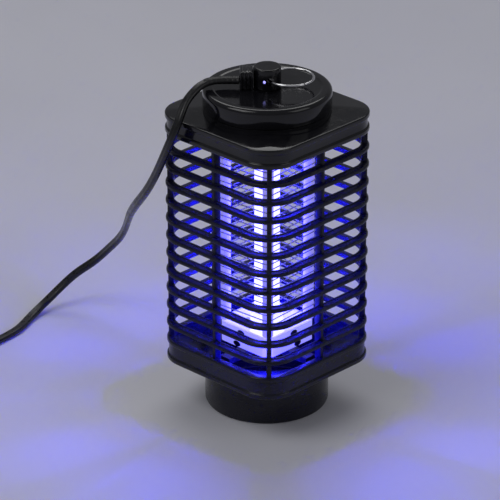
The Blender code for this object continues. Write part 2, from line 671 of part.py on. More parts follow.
def make_electronics():
    """Board of the voltage multiplier with its capacitors and its choke."""
    length, width, thick = BOARD_SIZE
    board = place("circuit_board",
                  prism("circuit_board", rectangle(-length / 2, -width / 2, length / 2, width / 2, 3.0),
                        BOARD_Z, BOARD_Z + thick), material("board_green", (0.05, 0.22, 0.1), 0.5))
    cut(board, [rod("screw_hole", SCREW_HOLE_RADIUS, BOARD_Z - 1.0, BOARD_Z + thick + 1.0,
                    (side * BOARD_SCREW[0], side * BOARD_SCREW[1]), 12) for side in (-1, 1)])
    top = BOARD_Z + thick + GAP
    for number, x in enumerate((-CAPACITOR_PITCH, 0.0, CAPACITOR_PITCH)):
        name = f"capacitor_{number + 1}"
        place(name, prism(name, rectangle(x - 3.2, -2.0, x + 3.2, 11.0, 0.8), top, top + 8.5),
              material("capacitor_red", (0.35, 0.05, 0.03), 0.35))
    place("choke", rod("choke", CHOKE_RADIUS, top, top + 8.0, (0.0, -10.0), 16),
          material("choke_black", (0.03, 0.03, 0.035), 0.5))


def coil_point(angle, radius, z):
    a = math.radians(angle)
    return (COIL_CENTRE[0] + radius * math.cos(a), COIL_CENTRE[1] + radius * math.sin(a), z)


def coil_section(room):
    """Eight-sided outline round the bundle of turns as (radius, height), grown by room."""
    scale = 1.0 / math.cos(math.radians(22.5))
    return [(COIL_RADIUS + (COIL_HALF_WIDTH + room) * scale * math.cos(a),
             COIL_Z + (COIL_HALF_HEIGHT + room) * scale * math.sin(a))
            for a in (math.radians(22.5 + 45.0 * i) for i in range(8))]


def make_cord():
    """Relief, lead, coil, tie and tail, end to end, with a small gap between them."""
    jacket = material("cord_jacket", (0.015, 0.015, 0.017), 0.4)
    route = [diagonal(*p) for p in smooth_route(CORD_ROUTE, 1.0)]
    relief = route[:round(RELIEF_LENGTH) + 1:2]
    share = [RELIEF_ENDS[0] + (RELIEF_ENDS[1] - RELIEF_ENDS[0]) * i / (len(relief) - 1)
             for i in range(len(relief))]
    tube("cord_relief", relief, 1.0, black_plastic("relief_rubber"), tapers=share)

    lead = route[round(RELIEF_LENGTH) + 1::12]
    tube("power_cord", lead + [route[-1]], CORD_RADIUS, jacket)

    section = coil_section(0.0)
    centre = diagonal(*COIL_CENTRE, 0.0) * MM
    place("cord_coil", turned("cord_coil", section, 36), jacket, origin=centre)

    loops = []
    for room, side in ((GAP, -1), (GAP + TIE_THICK, -1), (GAP + TIE_THICK, 1), (GAP, 1)):
        loops.append([(radius, side * TIE_WIDTH / 2.0, z) for radius, z in coil_section(room)])
    place("coil_tie", loft("coil_tie", loops), material("tie_black", (0.02, 0.02, 0.02), 0.5),
          origin=centre, turn=math.radians(45.0 + 250.0))

    a = math.radians(TAIL_ANGLE)
    outer_turn = COIL_RADIUS + CORD_RADIUS
    touch = Vector(coil_point(TAIL_ANGLE, outer_turn, CORD_RADIUS))
    along = Vector((math.sin(a), -math.cos(a), 0.0))
    start, end = TAIL_SPAN
    climb = PLUG_AXIS_Z - CORD_RADIUS
    tail = []
    for step in range(9):
        share = step / 8.0
        rise = climb * (3.0 - 2.0 * share) * share * share
        tail.append(touch + along * (start + (end - start) * share) + Vector((0.0, 0.0, rise)))
    tube("cord_tail", [diagonal(*p) for p in tail], CORD_RADIUS, jacket)
    return touch + along * (end + GAP), math.atan2(along.y, along.x) + math.pi / 4.0


def plug_loop(x, half_width, half_height, corner):
    """Section of the plug across its length: a rectangle with cut corners."""
    return [(x, y, z) for y, z in rectangle(-half_width, -half_height, half_width, half_height, corner)]


def make_plug(start, heading):
    """Flat two-pin plug lying on its side, with its sleeve towards the lead."""
    loops = [plug_loop(0.0, 3.4, 3.4, 1.6), plug_loop(10.0, 4.4, 4.4, 2.0),
             plug_loop(11.0, 7.0, 5.4, 2.2), plug_loop(19.0, 11.0, 6.6, 2.6),
             plug_loop(PLUG_LENGTH - 1.7, 12.6, 6.7, 2.6), plug_loop(PLUG_LENGTH, 11.6, 5.8, 2.4)]
    origin = diagonal(start.x, start.y, PLUG_AXIS_Z) * MM
    place("plug_body", loft("plug_body", loops, closed=False), black_plastic("plug_plastic"),
          origin=origin, turn=heading)
    for number, y in enumerate((-PIN_PLACE, PIN_PLACE)):
        pin = rod(f"plug_pin_{number + 1}", PIN_RADIUS, PLUG_LENGTH + GAP, PLUG_LENGTH + PIN_LENGTH)
        pin.transform(Matrix.Rotation(math.pi / 2.0, 4, "Y"))
        pin.transform(Matrix.Translation((0.0, y * MM, 0.0)))
        place(f"plug_pin_{number + 1}", pin, material("pin_steel", (0.7, 0.7, 0.72), 0.2, 1.0),
              origin=origin, turn=heading)


def main():
    clear_scene()
    make_top_cover()
    make_round_cap()
    make_hanger()
    make_hanging_ring()
    make_cord_gland()
    make_louvres()
    make_ribs()
    make_base()
    make_tray()
    make_ceiling_plate()
    make_grid_frames()
    make_grid_posts()
    make_grid_wires()
    make_lamp()
    make_bridge()
    make_screws()
    make_electronics()
    plug_start, plug_heading = make_cord()
    make_plug(plug_start, plug_heading)


main()
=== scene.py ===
"""Looks of the lantern-shaped insect killer: camera, lead, refined shells and materials."""
import math

import bmesh
import bpy
import numpy as np
from mathutils import Matrix, Vector


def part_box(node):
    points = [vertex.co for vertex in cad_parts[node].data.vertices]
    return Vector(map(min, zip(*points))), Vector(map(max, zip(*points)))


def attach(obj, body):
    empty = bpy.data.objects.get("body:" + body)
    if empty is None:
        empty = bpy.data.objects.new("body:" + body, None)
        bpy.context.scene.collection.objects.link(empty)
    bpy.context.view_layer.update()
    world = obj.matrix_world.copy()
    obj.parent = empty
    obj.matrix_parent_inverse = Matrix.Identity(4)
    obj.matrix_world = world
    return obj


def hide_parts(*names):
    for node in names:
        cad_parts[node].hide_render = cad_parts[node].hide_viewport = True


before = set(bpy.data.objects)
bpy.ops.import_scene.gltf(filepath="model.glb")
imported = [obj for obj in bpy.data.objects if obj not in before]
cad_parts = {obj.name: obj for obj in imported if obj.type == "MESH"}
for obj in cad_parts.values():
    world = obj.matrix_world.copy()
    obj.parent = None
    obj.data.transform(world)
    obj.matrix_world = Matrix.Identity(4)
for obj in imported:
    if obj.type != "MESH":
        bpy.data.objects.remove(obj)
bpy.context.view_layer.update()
MM = 0.001
SQRT2 = math.sqrt(2.0)
HOUSING, RING, TRAY = "housing", "ring", "tray"

# Plan of the housing, in millimetres
HALF = 44.0
CORNER = 17.7
ARC, SIDE = 14, 8
LOUVRES = 11
LOUVRE_DEPTH, LOUVRE_HEIGHT = 4.5, 2.8
CAP_RADIUS = 34.8
CAP_SEAT = 175.0          # height of the flat that the cap stands over
EAVE = 172.2              # height of the roof's outer edge
ROOF_SLOPE = 0.103
NECK_INNER, NECK_OUTER = 29.5, 31.5
TRAY_INNER, TRAY_OUTER = 31.9, 34.0
RECESS = 1.0              # how far the skirt and the rim stand back between their lips
POST_FACE = 7.4           # radius of the hanger post
HOLE_PLACE, HOLE_HEIGHT, HOLE_RADIUS = 1.55, 191.0, 2.3
RING_PLACE, RING_RADIUS, RING_WIRE = 12.5, 12.2, 0.7


def top(node):
    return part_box(node)[1].z / MM


def foot(node):
    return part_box(node)[0].z / MM


def diagonal(u, v, z):
    """Place on the diagonal layout, in millimetres."""
    return Vector(((u - v) / SQRT2, (u + v) / SQRT2, z))


# ---------------------------------------------------------------- materials

class Tree:
    """A material's node tree with short calls for what the materials here share."""

    def __init__(self, name):
        self.material = bpy.data.materials.new(name)
        self.material.use_nodes = True
        self.tree = self.material.node_tree
        self.shader = self.tree.nodes["Principled BSDF"]
        self.object = self.add("ShaderNodeTexCoord").outputs["Object"]
        self.geometry = self.add("ShaderNodeNewGeometry")

    def add(self, kind, **settings):
        node = self.tree.nodes.new(kind)
        for key, value in settings.items():
            setattr(node, key, value)
        return node

    def link(self, source, target):
        if isinstance(source, (int, float)):
            target.default_value = source
        elif isinstance(source, tuple):
            target.default_value = (*source, 1.0)
        else:
            self.tree.links.new(source, target)

    def noise(self, scale, detail=4.0, rough=0.55, stretch=None):
        node = self.add("ShaderNodeTexNoise")
        node.inputs["Scale"].default_value = scale
        node.inputs["Detail"].default_value = detail
        node.inputs["Roughness"].default_value = rough
        place = self.object
        if stretch:
            mapping = self.add("ShaderNodeMapping")
            mapping.inputs["Scale"].default_value = stretch
            self.link(place, mapping.inputs["Vector"])
            place = mapping.outputs["Vector"]
        self.link(place, node.inputs["Vector"])
        return node.outputs["Fac"]

    def spread(self, value, low, high, to_low=0.0, to_high=1.0):
        node = self.add("ShaderNodeMapRange", interpolation_type="SMOOTHSTEP")
        self.link(value, node.inputs["Value"])
        for key, number in (("From Min", low), ("From Max", high),
                            ("To Min", to_low), ("To Max", to_high)):
            node.inputs[key].default_value = number
        return node.outputs["Result"]

    def math(self, operation, a, b=0.0):
        node = self.add("ShaderNodeMath", operation=operation)
        self.link(a, node.inputs[0])
        self.link(b, node.inputs[1])
        return node.outputs[0]

    def mix(self, share, a, b):
        node = self.add("ShaderNodeMix", data_type="RGBA")
        self.link(share, node.inputs[0])
        self.link(a, node.inputs[6])
        self.link(b, node.inputs[7])
        return node.outputs[2]

    def bump(self, height, strength, distance, normal=None):
        node = self.add("ShaderNodeBump")
        node.inputs["Strength"].default_value = strength
        node.inputs["Distance"].default_value = distance
        self.link(height, node.inputs["Height"])
        if normal:
            self.link(normal, node.inputs["Normal"])
        return node.outputs["Normal"]

    def part(self, name):
        """One component of the place in the object, or of the surface's direction (nx, ny, nz)."""
        node = self.add("ShaderNodeSeparateXYZ")
        self.link(self.geometry.outputs["Normal"] if name.startswith("n") else self.object,
                  node.inputs[0])
        return node.outputs["XYZ".index(name[-1].upper())]

    def set(self, **values):
        for key, value in values.items():
            self.link(value, self.shader.inputs[key.replace("_", " ")])
        return self.material


def moulded(name, dark=(0.005, 0.005, 0.007), light=(0.009, 0.009, 0.012), gloss=(0.08, 0.17),
            grain=0.12, dust=0.2, ior=1.5):
    """Moulded plastic: flow marks in the colour, worn edges, faint scuffs, thin dust on top."""
    t = Tree(name)
    flow = t.spread(t.noise(38.0, 3.0), 0.35, 0.7)
    colour = t.mix(flow, dark, light)
    edge = t.spread(t.geometry.outputs["Pointiness"], 0.53, 0.62)
    worn = t.math("MULTIPLY", edge, t.spread(t.noise(420.0, 5.0), 0.42, 0.66, 0.1, 0.8))
    colour = t.mix(worn, colour, (0.045, 0.045, 0.052))
    speck = t.spread(t.noise(2600.0, 2.0), 0.66, 0.74)
    up = t.spread(t.part("nz"), 0.55, 0.98)
    film = t.math("MULTIPLY", up, t.spread(t.noise(95.0, 6.0, 0.65), 0.4, 0.85, 0.0, 0.16 * dust))
    settle = t.math("ADD", film, t.math("MULTIPLY", speck, t.math("MULTIPLY", up, 0.3 * dust)))
    colour = t.mix(settle, colour, (0.16, 0.155, 0.15))
    scuff = t.spread(t.noise(170.0, 8.0, 0.7, stretch=(1.0, 1.0, 3.5)), 0.35, 0.75)
    rough = t.spread(scuff, 0.0, 1.0, *gloss)
    rough = t.math("ADD", rough, t.math("MULTIPLY", settle, 0.5))
    rough = t.math("ADD", rough, t.math("MULTIPLY", worn, 0.15))
    skin = t.bump(t.noise(900.0, 3.0, 0.5), grain, 0.00003)
    skin = t.bump(t.noise(70.0, 2.0), 0.10, 0.0004, skin)
    return t.set(Base_Color=colour, Roughness=rough, Normal=skin, IOR=ior)


def pale(name, colour, shade, emission=None):
    """Pale moulded insulator with handling marks; emission paints the lamp's light onto it as a
    glow, though it is no lamp.
    """
    t = Tree(name)
    tone = t.mix(t.spread(t.noise(60.0, 4.0), 0.3, 0.7), colour, shade)
    mark = t.spread(t.noise(350.0, 6.0, 0.7), 0.62, 0.78, 0.0, 0.25)
    tone = t.mix(mark, tone, tuple(0.6 * c for c in shade))
    skin = t.bump(t.noise(1200.0, 3.0), 0.15, 0.00003)
    rough = t.spread(t.noise(240.0, 4.0), 0.3, 0.7, 0.3, 0.45)
    t.set(Base_Color=tone, Roughness=rough, Normal=skin)
    if emission:
        t.set(Emission_Color=emission[0], Emission_Strength=emission[1])
    return t.material


def metal(name, colour, tint, rough, brushed=(1.0, 1.0, 1.0)):
    """Clouded metal with fine streaks, drawn out along the axis where brushed is large."""
    t = Tree(name)
    cloud = t.spread(t.noise(300.0, 6.0, 0.65), 0.35, 0.7)
    tone = t.mix(cloud, colour, tint)
    streak = t.noise(1500.0, 4.0, 0.6, stretch=brushed)
    return t.set(Base_Color=tone, Metallic=1.0, Normal=t.bump(streak, 0.08, 0.00002),
                 Roughness=t.spread(t.noise(600.0, 5.0), 0.3, 0.75, *rough))


def glow(name, colour, strength):
    """Lit phosphor: its brightness drifts a little along the tube."""
    t = Tree(name)
    drift = t.spread(t.noise(55.0, 3.0), 0.3, 0.7, 0.85 * strength, strength)
    return t.set(Base_Color=(0.8, 0.8, 0.95),
                 Roughness=t.spread(t.noise(300.0), 0.3, 0.7, 0.12, 0.2),
                 Emission_Color=colour, Emission_Strength=drift,
                 Normal=t.bump(t.noise(500.0), 0.05, 0.00003))


def board_material():
    """Green solder mask over copper tracks."""
    t = Tree("board_green_look")
    cells = t.add("ShaderNodeTexVoronoi", feature="DISTANCE_TO_EDGE")
    cells.inputs["Scale"].default_value = 230.0
    t.link(t.object, cells.inputs["Vector"])
    track = t.spread(cells.outputs["Distance"], 0.06, 0.1)
    mask = t.mix(track, (0.012, 0.075, 0.03), (0.025, 0.15, 0.06))
    tone = t.mix(t.spread(t.noise(200.0, 5.0), 0.5, 0.8, 0.0, 0.4), mask, (0.05, 0.12, 0.06))
    return t.set(Base_Color=tone, Roughness=t.spread(t.noise(500.0), 0.3, 0.7, 0.25, 0.4),
                 Normal=t.bump(track, 0.3, 0.00005))


def jacket_material(name="cord_jacket_look", gloss=(0.24, 0.4)):
    """Black PVC sheath: fine drawn lines and handling grime."""
    t = Tree(name)
    cloud = t.spread(t.noise(120.0, 5.0), 0.35, 0.7)
    tone = t.mix(cloud, (0.005, 0.005, 0.006), (0.01, 0.01, 0.012))
    grime = t.spread(t.noise(600.0, 6.0, 0.7), 0.6, 0.78, 0.0, 0.35)
    tone = t.mix(grime, tone, (0.03, 0.029, 0.028))
    skin = t.bump(t.noise(1600.0, 3.0), 0.2, 0.00003)
    return t.set(Base_Color=tone, Normal=skin,
                 Roughness=t.spread(t.noise(260.0, 4.0), 0.3, 0.75, *gloss))


def floor_material():
    """Plain pale studio floor."""
    t = Tree("studio_floor_look")
    tone = t.mix(t.spread(t.noise(3.0, 3.0), 0.3, 0.7), (0.74, 0.74, 0.82), (0.78, 0.78, 0.85))
    return t.set(Base_Color=tone, Roughness=t.spread(t.noise(30.0, 4.0), 0.3, 0.7, 0.5, 0.6),
                 Normal=t.bump(t.noise(400.0, 3.0), 0.04, 0.0002))


GLOSSY = moulded("roof_plastic_look")
CAGE = moulded("cage_plastic_look", (0.006, 0.006, 0.018), (0.009, 0.009, 0.028), (0.26, 0.38),
               grain=0.1, dust=0.03, ior=1.36)
POST = moulded("post_plastic_look", gloss=(0.12, 0.22), grain=0.1, dust=0.25)
BASE = moulded("base_plastic_look", (0.006, 0.006, 0.014), (0.009, 0.009, 0.02), (0.2, 0.32),
               ior=1.42)
INNER = moulded("plate_plastic_look", gloss=(0.3, 0.45), grain=0.3, dust=0.6)
PLUG = moulded("plug_plastic_look", gloss=(0.3, 0.42), grain=0.35, dust=0.3)
TIE = moulded("tie_black_look", gloss=(0.45, 0.6), grain=0.5, dust=0.3)
RELIEF = jacket_material("relief_rubber_look", (0.38, 0.52))
JACKET = jacket_material()
# Painted glow: the emission of these three paints the lamp's lavender light onto the posts, the
# holder and the frames, which are no lamps
WHITE = pale("post_white_look", (0.80, 0.80, 0.86), (0.70, 0.70, 0.76),
             emission=((0.3, 0.27, 1.0), 0.5))
HOLDER = pale("holder_white_look", (0.80, 0.80, 0.86), (0.72, 0.72, 0.78),
              emission=((0.5, 0.48, 1.0), 1.5))
FRAME = pale("frame_plastic_look", (0.74, 0.74, 0.82), (0.62, 0.62, 0.70),
             emission=((0.5, 0.48, 1.0), 0.5))
SOCKET = pale("socket_white_look", (0.75, 0.75, 0.78), (0.66, 0.66, 0.68))
LAMP = glow("lamp_glow_look", (0.115, 0.11, 1.0), 9.5)
# Painted glow: a spot of blue light beside the post's hole, given by an emissive lens that is no
# lamp
HOLE_GLOW_PAINT = glow("eye_light_look", (0.28, 0.26, 1.0), 1.8)
WIRE = metal("grid_wire_look", (0.66, 0.66, 0.70), (0.5, 0.5, 0.55), (0.2, 0.35))
CHROME = metal("ring_chrome_look", (0.80, 0.80, 0.82), (0.66, 0.65, 0.66), (0.06, 0.2))
STEEL = metal("screw_steel_look", (0.60, 0.60, 0.62), (0.45, 0.45, 0.47), (0.25, 0.45))
PIN = metal("pin_steel_look", (0.74, 0.72, 0.68), (0.6, 0.58, 0.54), (0.12, 0.3), (0.2, 0.2, 6.0))
BOARD = board_material()
CAPACITOR = moulded("capacitor_look", (0.22, 0.03, 0.015), (0.32, 0.06, 0.03), (0.2, 0.35))
CHOKE = moulded("choke_look", gloss=(0.4, 0.6), grain=0.5)


# ---------------------------------------------------------------- mesh helpers

def angles(count, start=0.0):
    """Evenly spaced angles once round a circle."""
    return np.linspace(start, start + 2.0 * math.pi, count + 1)[:-1]


def disc(radius, count):
    return [(radius * math.cos(a), radius * math.sin(a)) for a in angles(count)]


def between(start, stop, share):
    """Outline part of the way from one outline to another with as many points."""
    return [(a[0] + (b[0] - a[0]) * share, a[1] + (b[1] - a[1]) * share)
            for a, b in zip(start, stop)]


def add_piece(name, mesh, material, body, slot, *nodes):
    """Links a mesh as a piece that rides on a body and stands for CAD nodes."""
    mesh.materials.append(material)
    piece = bpy.data.objects.new(name, mesh)
    bpy.context.scene.collection.objects.link(piece)
    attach(piece, body)
    if nodes:
        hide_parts(*nodes)
    return piece


def new_mesh(name, parts, angle=35.0):
    """One mesh from (points in millimetres, faces) lists, its normals turned outwards."""
    points, faces = [], []
    for some, some_faces in parts:
        shift = len(points)
        points += [tuple(c * MM for c in p) for p in some]
        faces += [tuple(i + shift for i in face) for face in some_faces]
    mesh = bpy.data.meshes.new(name)
    mesh.from_pydata(points, [], faces)
    work = bmesh.new()
    work.from_mesh(mesh)
    bmesh.ops.remove_doubles(work, verts=work.verts, dist=1e-7)
    bmesh.ops.recalc_face_normals(work, faces=work.faces)
    work.to_mesh(mesh)
    work.free()
    mesh.shade_smooth()
    mesh.set_sharp_from_angle(angle=math.radians(angle))
    return mesh


def skin(loops, closed=True):
    """Faces over loops of equal length; closed joins last to first, else the ends are capped."""
    count = len(loops[0])
    points = [tuple(p) for loop in loops for p in loop]
    faces = []
    for row in range(len(loops) if closed else len(loops) - 1):
        a, b = row * count, (row + 1) % len(loops) * count
        faces += [(a + i, a + (i + 1) % count, b + (i + 1) % count, b + i) for i in range(count)]
    if not closed:
        last = (len(loops) - 1) * count
        faces += [tuple(range(count)), tuple(range(last, last + count))]
    return points, faces


def rounded(corners, steps=5):
    """Closed outline through (x, y, radius) corners, each rounded by its radius."""
    out = []
    for i, (x, y, radius) in enumerate(corners):
        p = Vector((x, y))
        a = Vector(corners[i - 1][:2]) - p
        b = Vector(corners[(i + 1) % len(corners)][:2]) - p
        reach_a, reach_b = a.length, b.length
        a.normalize()
        b.normalize()
        half = math.acos(max(-1.0, min(1.0, a.dot(b)))) / 2.0
        if radius <= 0.0 or half > 1.55:
            out.append((x, y))
            continue
        reach = min(radius / math.tan(half), 0.48 * reach_a, 0.48 * reach_b)
        size = reach * math.tan(half)
        centre = p + (a + b).normalized() * (size / math.sin(half))
        first, last = p + a * reach - centre, p + b * reach - centre
        start = math.atan2(first.y, first.x)
        turn = (math.atan2(last.y, last.x) - start + math.pi) % (2.0 * math.pi) - math.pi
        out += [(centre.x + size * math.cos(start + turn * k / steps),
                 centre.y + size * math.sin(start + turn * k / steps)) for k in range(steps + 1)]
    return out


def turned(x, y, turn):
    return x * math.cos(turn) - y * math.sin(turn), x * math.sin(turn) + y * math.cos(turn)


def square_ring(half, radius):
    """Rounded square in plan, quarter by quarter."""
    points = []
    centre = half - radius
    for quarter in range(4):
        turn = quarter * math.pi / 2.0
        run = [(centre + radius * math.cos(a), centre + radius * math.sin(a))
               for a in np.linspace(0.0, math.pi / 2.0, ARC + 1)]
        run += [(centre * (1.0 - 2.0 * k / (SIDE + 1)), half) for k in range(1, SIDE + 1)]
        points += [turned(x, y, turn) for x, y in run]
    return points


def circle_ring(radius):
    """Circle whose points match those of square_ring one for one."""
    count = 4 * (ARC + 1 + SIDE)
    step = 2.0 * math.pi / count
    first = math.pi / 4.0 - ARC / 2.0 * step
    return [(radius * math.cos(first + i * step), radius * math.sin(first + i * step))
            for i in range(count)]


def at_height(ring, z):
    return [(x, y, z(x, y) if callable(z) else z) for x, y in ring]


def inset_ring(inset, z):
    return at_height(square_ring(HALF - inset, CORNER - inset), z)


def turned_loops(profile, steps, centre=(0.0, 0.0)):
    return [[(centre[0] + x, centre[1] + y, z) for x, y in disc(r, steps)] for r, z in profile]


def lathe(profile, steps):
    """Turns a closed outline of (radius, height) about the upright axis."""
    return skin(turned_loops(profile, steps))


def solid_lathe(profile, steps, centre=(0.0, 0.0)):
    """Turns an open outline that starts and ends on the axis."""
    return skin(turned_loops([p for p in profile if p[0] > 0.0], steps, centre), closed=False)


def sweep(path, sections):
    """Closed tube through world points; sections gives each ring's offsets along (side, up)."""
    loops = []
    for place, (side, up), section in zip(path, frames_along(path), sections):
        loops.append([place + side * a + up * b for a, b in section])
    return skin(loops, closed=False)


def tangents(path):
    out = []
    for i in range(len(path)):
        out.append((path[min(i + 1, len(path) - 1)] - path[max(i - 1, 0)]).normalized())
    return out


def frames_along(path, twist=None):
    """Side and up directions carried along a path without turning, then twisted by given angles."""
    along = tangents(path)
    start = Vector((0.0, 0.0, 1.0))
    up = (start - along[0] * start.dot(along[0])).normalized()
    out = []
    for i, direction in enumerate(along):
        up = (up - direction * up.dot(direction)).normalized()
        angle = twist[i] if twist else 0.0
        leaned = up * math.cos(angle) + direction.cross(up) * math.sin(angle)
        out.append((leaned.cross(direction).normalized(), leaned))
    return out


def box_part(x0, x1, y0, y1, z0, z1, radius=0.4, turn=0.0):
    """Upright block with rounded upright edges and softened ends."""
    loops = []
    for inset, z in ((radius, z0), (radius * 0.3, z0 + radius * 0.3), (0.0, z0 + radius),
                     (0.0, z1 - radius), (radius * 0.3, z1 - radius * 0.3), (radius, z1)):
        ring = rounded([(x0 + inset, y0 + inset, radius), (x1 - inset, y0 + inset, radius),
                        (x1 - inset, y1 - inset, radius), (x0 + inset, y1 - inset, radius)], 3)
        loops.append([(*turned(x, y, turn), z) for x, y in ring])
    return skin(loops, closed=False)


def carve(piece, cutters, angle=35.0):
    """Subtracts helper meshes from a piece and drops them."""
    for number, part in enumerate(cutters):
        helper = bpy.data.objects.new(f"tool_{number}", new_mesh(f"tool_{number}", [part]))
        bpy.context.scene.collection.objects.link(helper)
        step = piece.modifiers.new(f"tool_{number}", "BOOLEAN")
        step.operation, step.solver, step.object = "DIFFERENCE", "EXACT", helper
    view = bpy.context.evaluated_depsgraph_get()
    shaped = bpy.data.meshes.new_from_object(piece.evaluated_get(view))
    for step in list(piece.modifiers):
        helper = step.object
        piece.modifiers.remove(step)
        bpy.data.objects.remove(helper, do_unlink=True)
    piece.data = shaped
    shaped.set_sharp_from_angle(angle=math.radians(angle))


# ---------------------------------------------------------------- camera

AZIMUTH, ELEVATION = math.radians(44.0), math.radians(25.3)
DISTANCE = 1.9883
AIM_HEIGHT, AIM_LEFT = 0.0894, 0.00925

back = Vector((math.sin(AZIMUTH) * math.cos(ELEVATION), -math.cos(AZIMUTH) * math.cos(ELEVATION),
               math.sin(ELEVATION)))
right = Vector((math.cos(AZIMUTH), math.sin(AZIMUTH), 0.0))
camera = bpy.data.objects.new("camera", bpy.data.cameras.new("camera"))
camera.data.lens, camera.data.sensor_width = 263.03, 36.0
camera.data.clip_start, camera.data.clip_end = 0.05, 20.0
camera.location = Vector((0.0, 0.0, AIM_HEIGHT)) - right * AIM_LEFT + back * DISTANCE
camera.rotation_euler = (-back).to_track_quat("-Z", "Y").to_euler()
bpy.context.scene.collection.objects.link(camera)
bpy.context.scene.camera = camera

# ---------------------------------------------------------------- lead

CORD_WIDTH, CORD_THICK = 5.4, 3.3
CORE_RADIUS = CORD_THICK / 2.0
CORE_PLACE = CORD_WIDTH / 2.0 - CORE_RADIUS
REST_Z = CORE_RADIUS + 0.1        # centre of a lead that lies flat on the floor
ROUTE_REST_Z = 2.7                # what the route below gives for that height
LEAD_STEP = 2.0
RELIEF_LENGTH = 20.0
COIL_CENTRE = (-188.2, 72.3)
COIL_RADIUS = 28.0
COLUMN, LAYER = 2.7, 3.4          # half the spacing across turns, full spacing between layers
FIRST_ANGLE, TAIL_ANGLE = -40.4, 150.0
TIE_ANGLE = 250.0
TIE_LIFT = 0.65                   # how much the tie under the coil raises it
PLUG_AXIS_Z = 6.7
PLUG_START = 36.3
PLUG_LENGTH, PLUG_DRAWN = 34.0, 40.0      # real length, and the length its rows are drawn to
PIN_PLACE = 9.3
CORD_ROUTE = [
    (-14.9, 0.0, 189.6), (-25.0, 0.0, 189.6), (-33.6, -3.0, 189.2), (-40.0, -8.0, 185.6),
    (-44.2, -13.0, 181.4), (-46.9, -18.0, 175.5), (-51.7, -19.5, 163.3), (-57.5, -11.0, 145.4),
    (-64.6, 8.0, 122.8), (-70.8, 30.0, 104.4), (-75.0, 52.0, 88.0), (-77.5, 73.0, 72.0),
    (-82.0, 91.0, 55.0), (-89.0, 103.0, 42.2), (-99.5, 112.0, 28.7), (-109.0, 115.0, 20.4),
    (-118.0, 113.5, 12.2), (-127.0, 108.0, 5.8), (-134.5, 96.9, 2.9), (-142.0, 80.0, 2.7),
    (-147.4, 72.8, 2.7), (-151.8, 67.6, 2.7),
]


def step_between(x, low, high):
    share = min(1.0, max(0.0, (x - low) / (high - low)))
    return share * share * (3.0 - 2.0 * share)


def spline(places, spacing):
    """Points at even spacing on the natural cubic curve through the given places."""
    at = np.array(places, float)
    knots = np.concatenate([[0.0], np.cumsum(np.linalg.norm(np.diff(at, axis=0), axis=1))])
    span = np.diff(knots)
    size = len(at)
    system, load = np.eye(size), np.zeros((size, 3))
    for i in range(1, size - 1):
        system[i, i - 1:i + 2] = span[i - 1], 2.0 * (span[i - 1] + span[i]), span[i]
        load[i] = 6.0 * ((at[i + 1] - at[i]) / span[i] - (at[i] - at[i - 1]) / span[i - 1])
    bend = np.linalg.solve(system, load)
    fine = []
    for s in np.linspace(0.0, knots[-1], 3000):
        i = min(int(np.searchsorted(knots, s, side="right")) - 1, size - 2)
        h = span[i]
        a, b = (knots[i + 1] - s) / h, (s - knots[i]) / h
        fine.append(a * at[i] + b * at[i + 1]
                    + ((a ** 3 - a) * bend[i] + (b ** 3 - b) * bend[i + 1]) * h * h / 6.0)
    return resample(np.array(fine), spacing)


def resample(fine, spacing):
    length = np.concatenate([[0.0], np.cumsum(np.linalg.norm(np.diff(fine, axis=0), axis=1))])
    wanted = np.linspace(0.0, length[-1], max(2, round(length[-1] / spacing)) + 1)
    return np.stack([np.interp(wanted, length, fine[:, k]) for k in range(3)], axis=1)


def coil_place(run):
    """Place after turning run degrees clockwise from where the lead joins the coil."""
    shift_in = step_between(run, 310.0, 360.0)
    rise = step_between(run, 620.0, 672.0)
    shift_out = step_between(run, 920.0, 985.0)
    radius = COIL_RADIUS + COLUMN * (1.0 - 2.0 * shift_in + 2.0 * shift_out)
    angle = math.radians(FIRST_ANGLE - run)
    off = (math.degrees(angle) - TIE_ANGLE + 180.0) % 360.0 - 180.0
    lift = TIE_LIFT * (1.0 - step_between(abs(off), 8.0, 45.0))
    return (COIL_CENTRE[0] + radius * math.cos(angle), COIL_CENTRE[1] + radius * math.sin(angle),
            REST_Z + LAYER * rise + lift)


def lead_path():
    """The whole lead on the diagonal layout: down from the gland, along the floor, coil, tail."""
    route = spline(CORD_ROUTE, LEAD_STEP)
    for p in route:
        p[2] -= (ROUTE_REST_Z - REST_Z) * (1.0 - step_between(p[2], 2.9, 14.0))
    turns = 3.0 * 360.0 + (FIRST_ANGLE + 360.0 - TAIL_ANGLE) % 360.0
    coil = np.array([coil_place(a) for a in np.linspace(0.0, turns, 500)])
    a = math.radians(TAIL_ANGLE)
    along = np.array([math.sin(a), -math.cos(a), 0.0])
    tail = []
    for s in np.linspace(0.0, PLUG_START + 6.0, 40)[1:]:
        p = coil[-1] + along * s
        p[2] += (PLUG_AXIS_Z - coil[-1][2]) * step_between(s, 8.0, PLUG_START)
        tail.append(p)
    start, end = route[-1], coil[0]
    bridge = [start + (end - start) * k / 8.0 for k in range(1, 8)]
    whole = resample(np.concatenate([route, bridge, coil, tail]), LEAD_STEP)
    soft = whole.copy()
    for _ in range(3):
        soft[1:-1] = 0.25 * soft[:-2] + 0.5 * soft[1:-1] + 0.25 * soft[2:]
    return [diagonal(*p) for p in soft]


def twin_section():
    """Two round cores side by side with a groove between them."""
    open_angle = math.acos(-CORE_PLACE / CORE_RADIUS) - 0.12
    right_side = [(CORE_PLACE + CORE_RADIUS * math.cos(a), CORE_RADIUS * math.sin(a))
                  for a in np.linspace(-open_angle, open_angle, 9)]
    left_side = [(-x, -y) for x, y in right_side]
    return right_side + left_side


LEAD = lead_path()


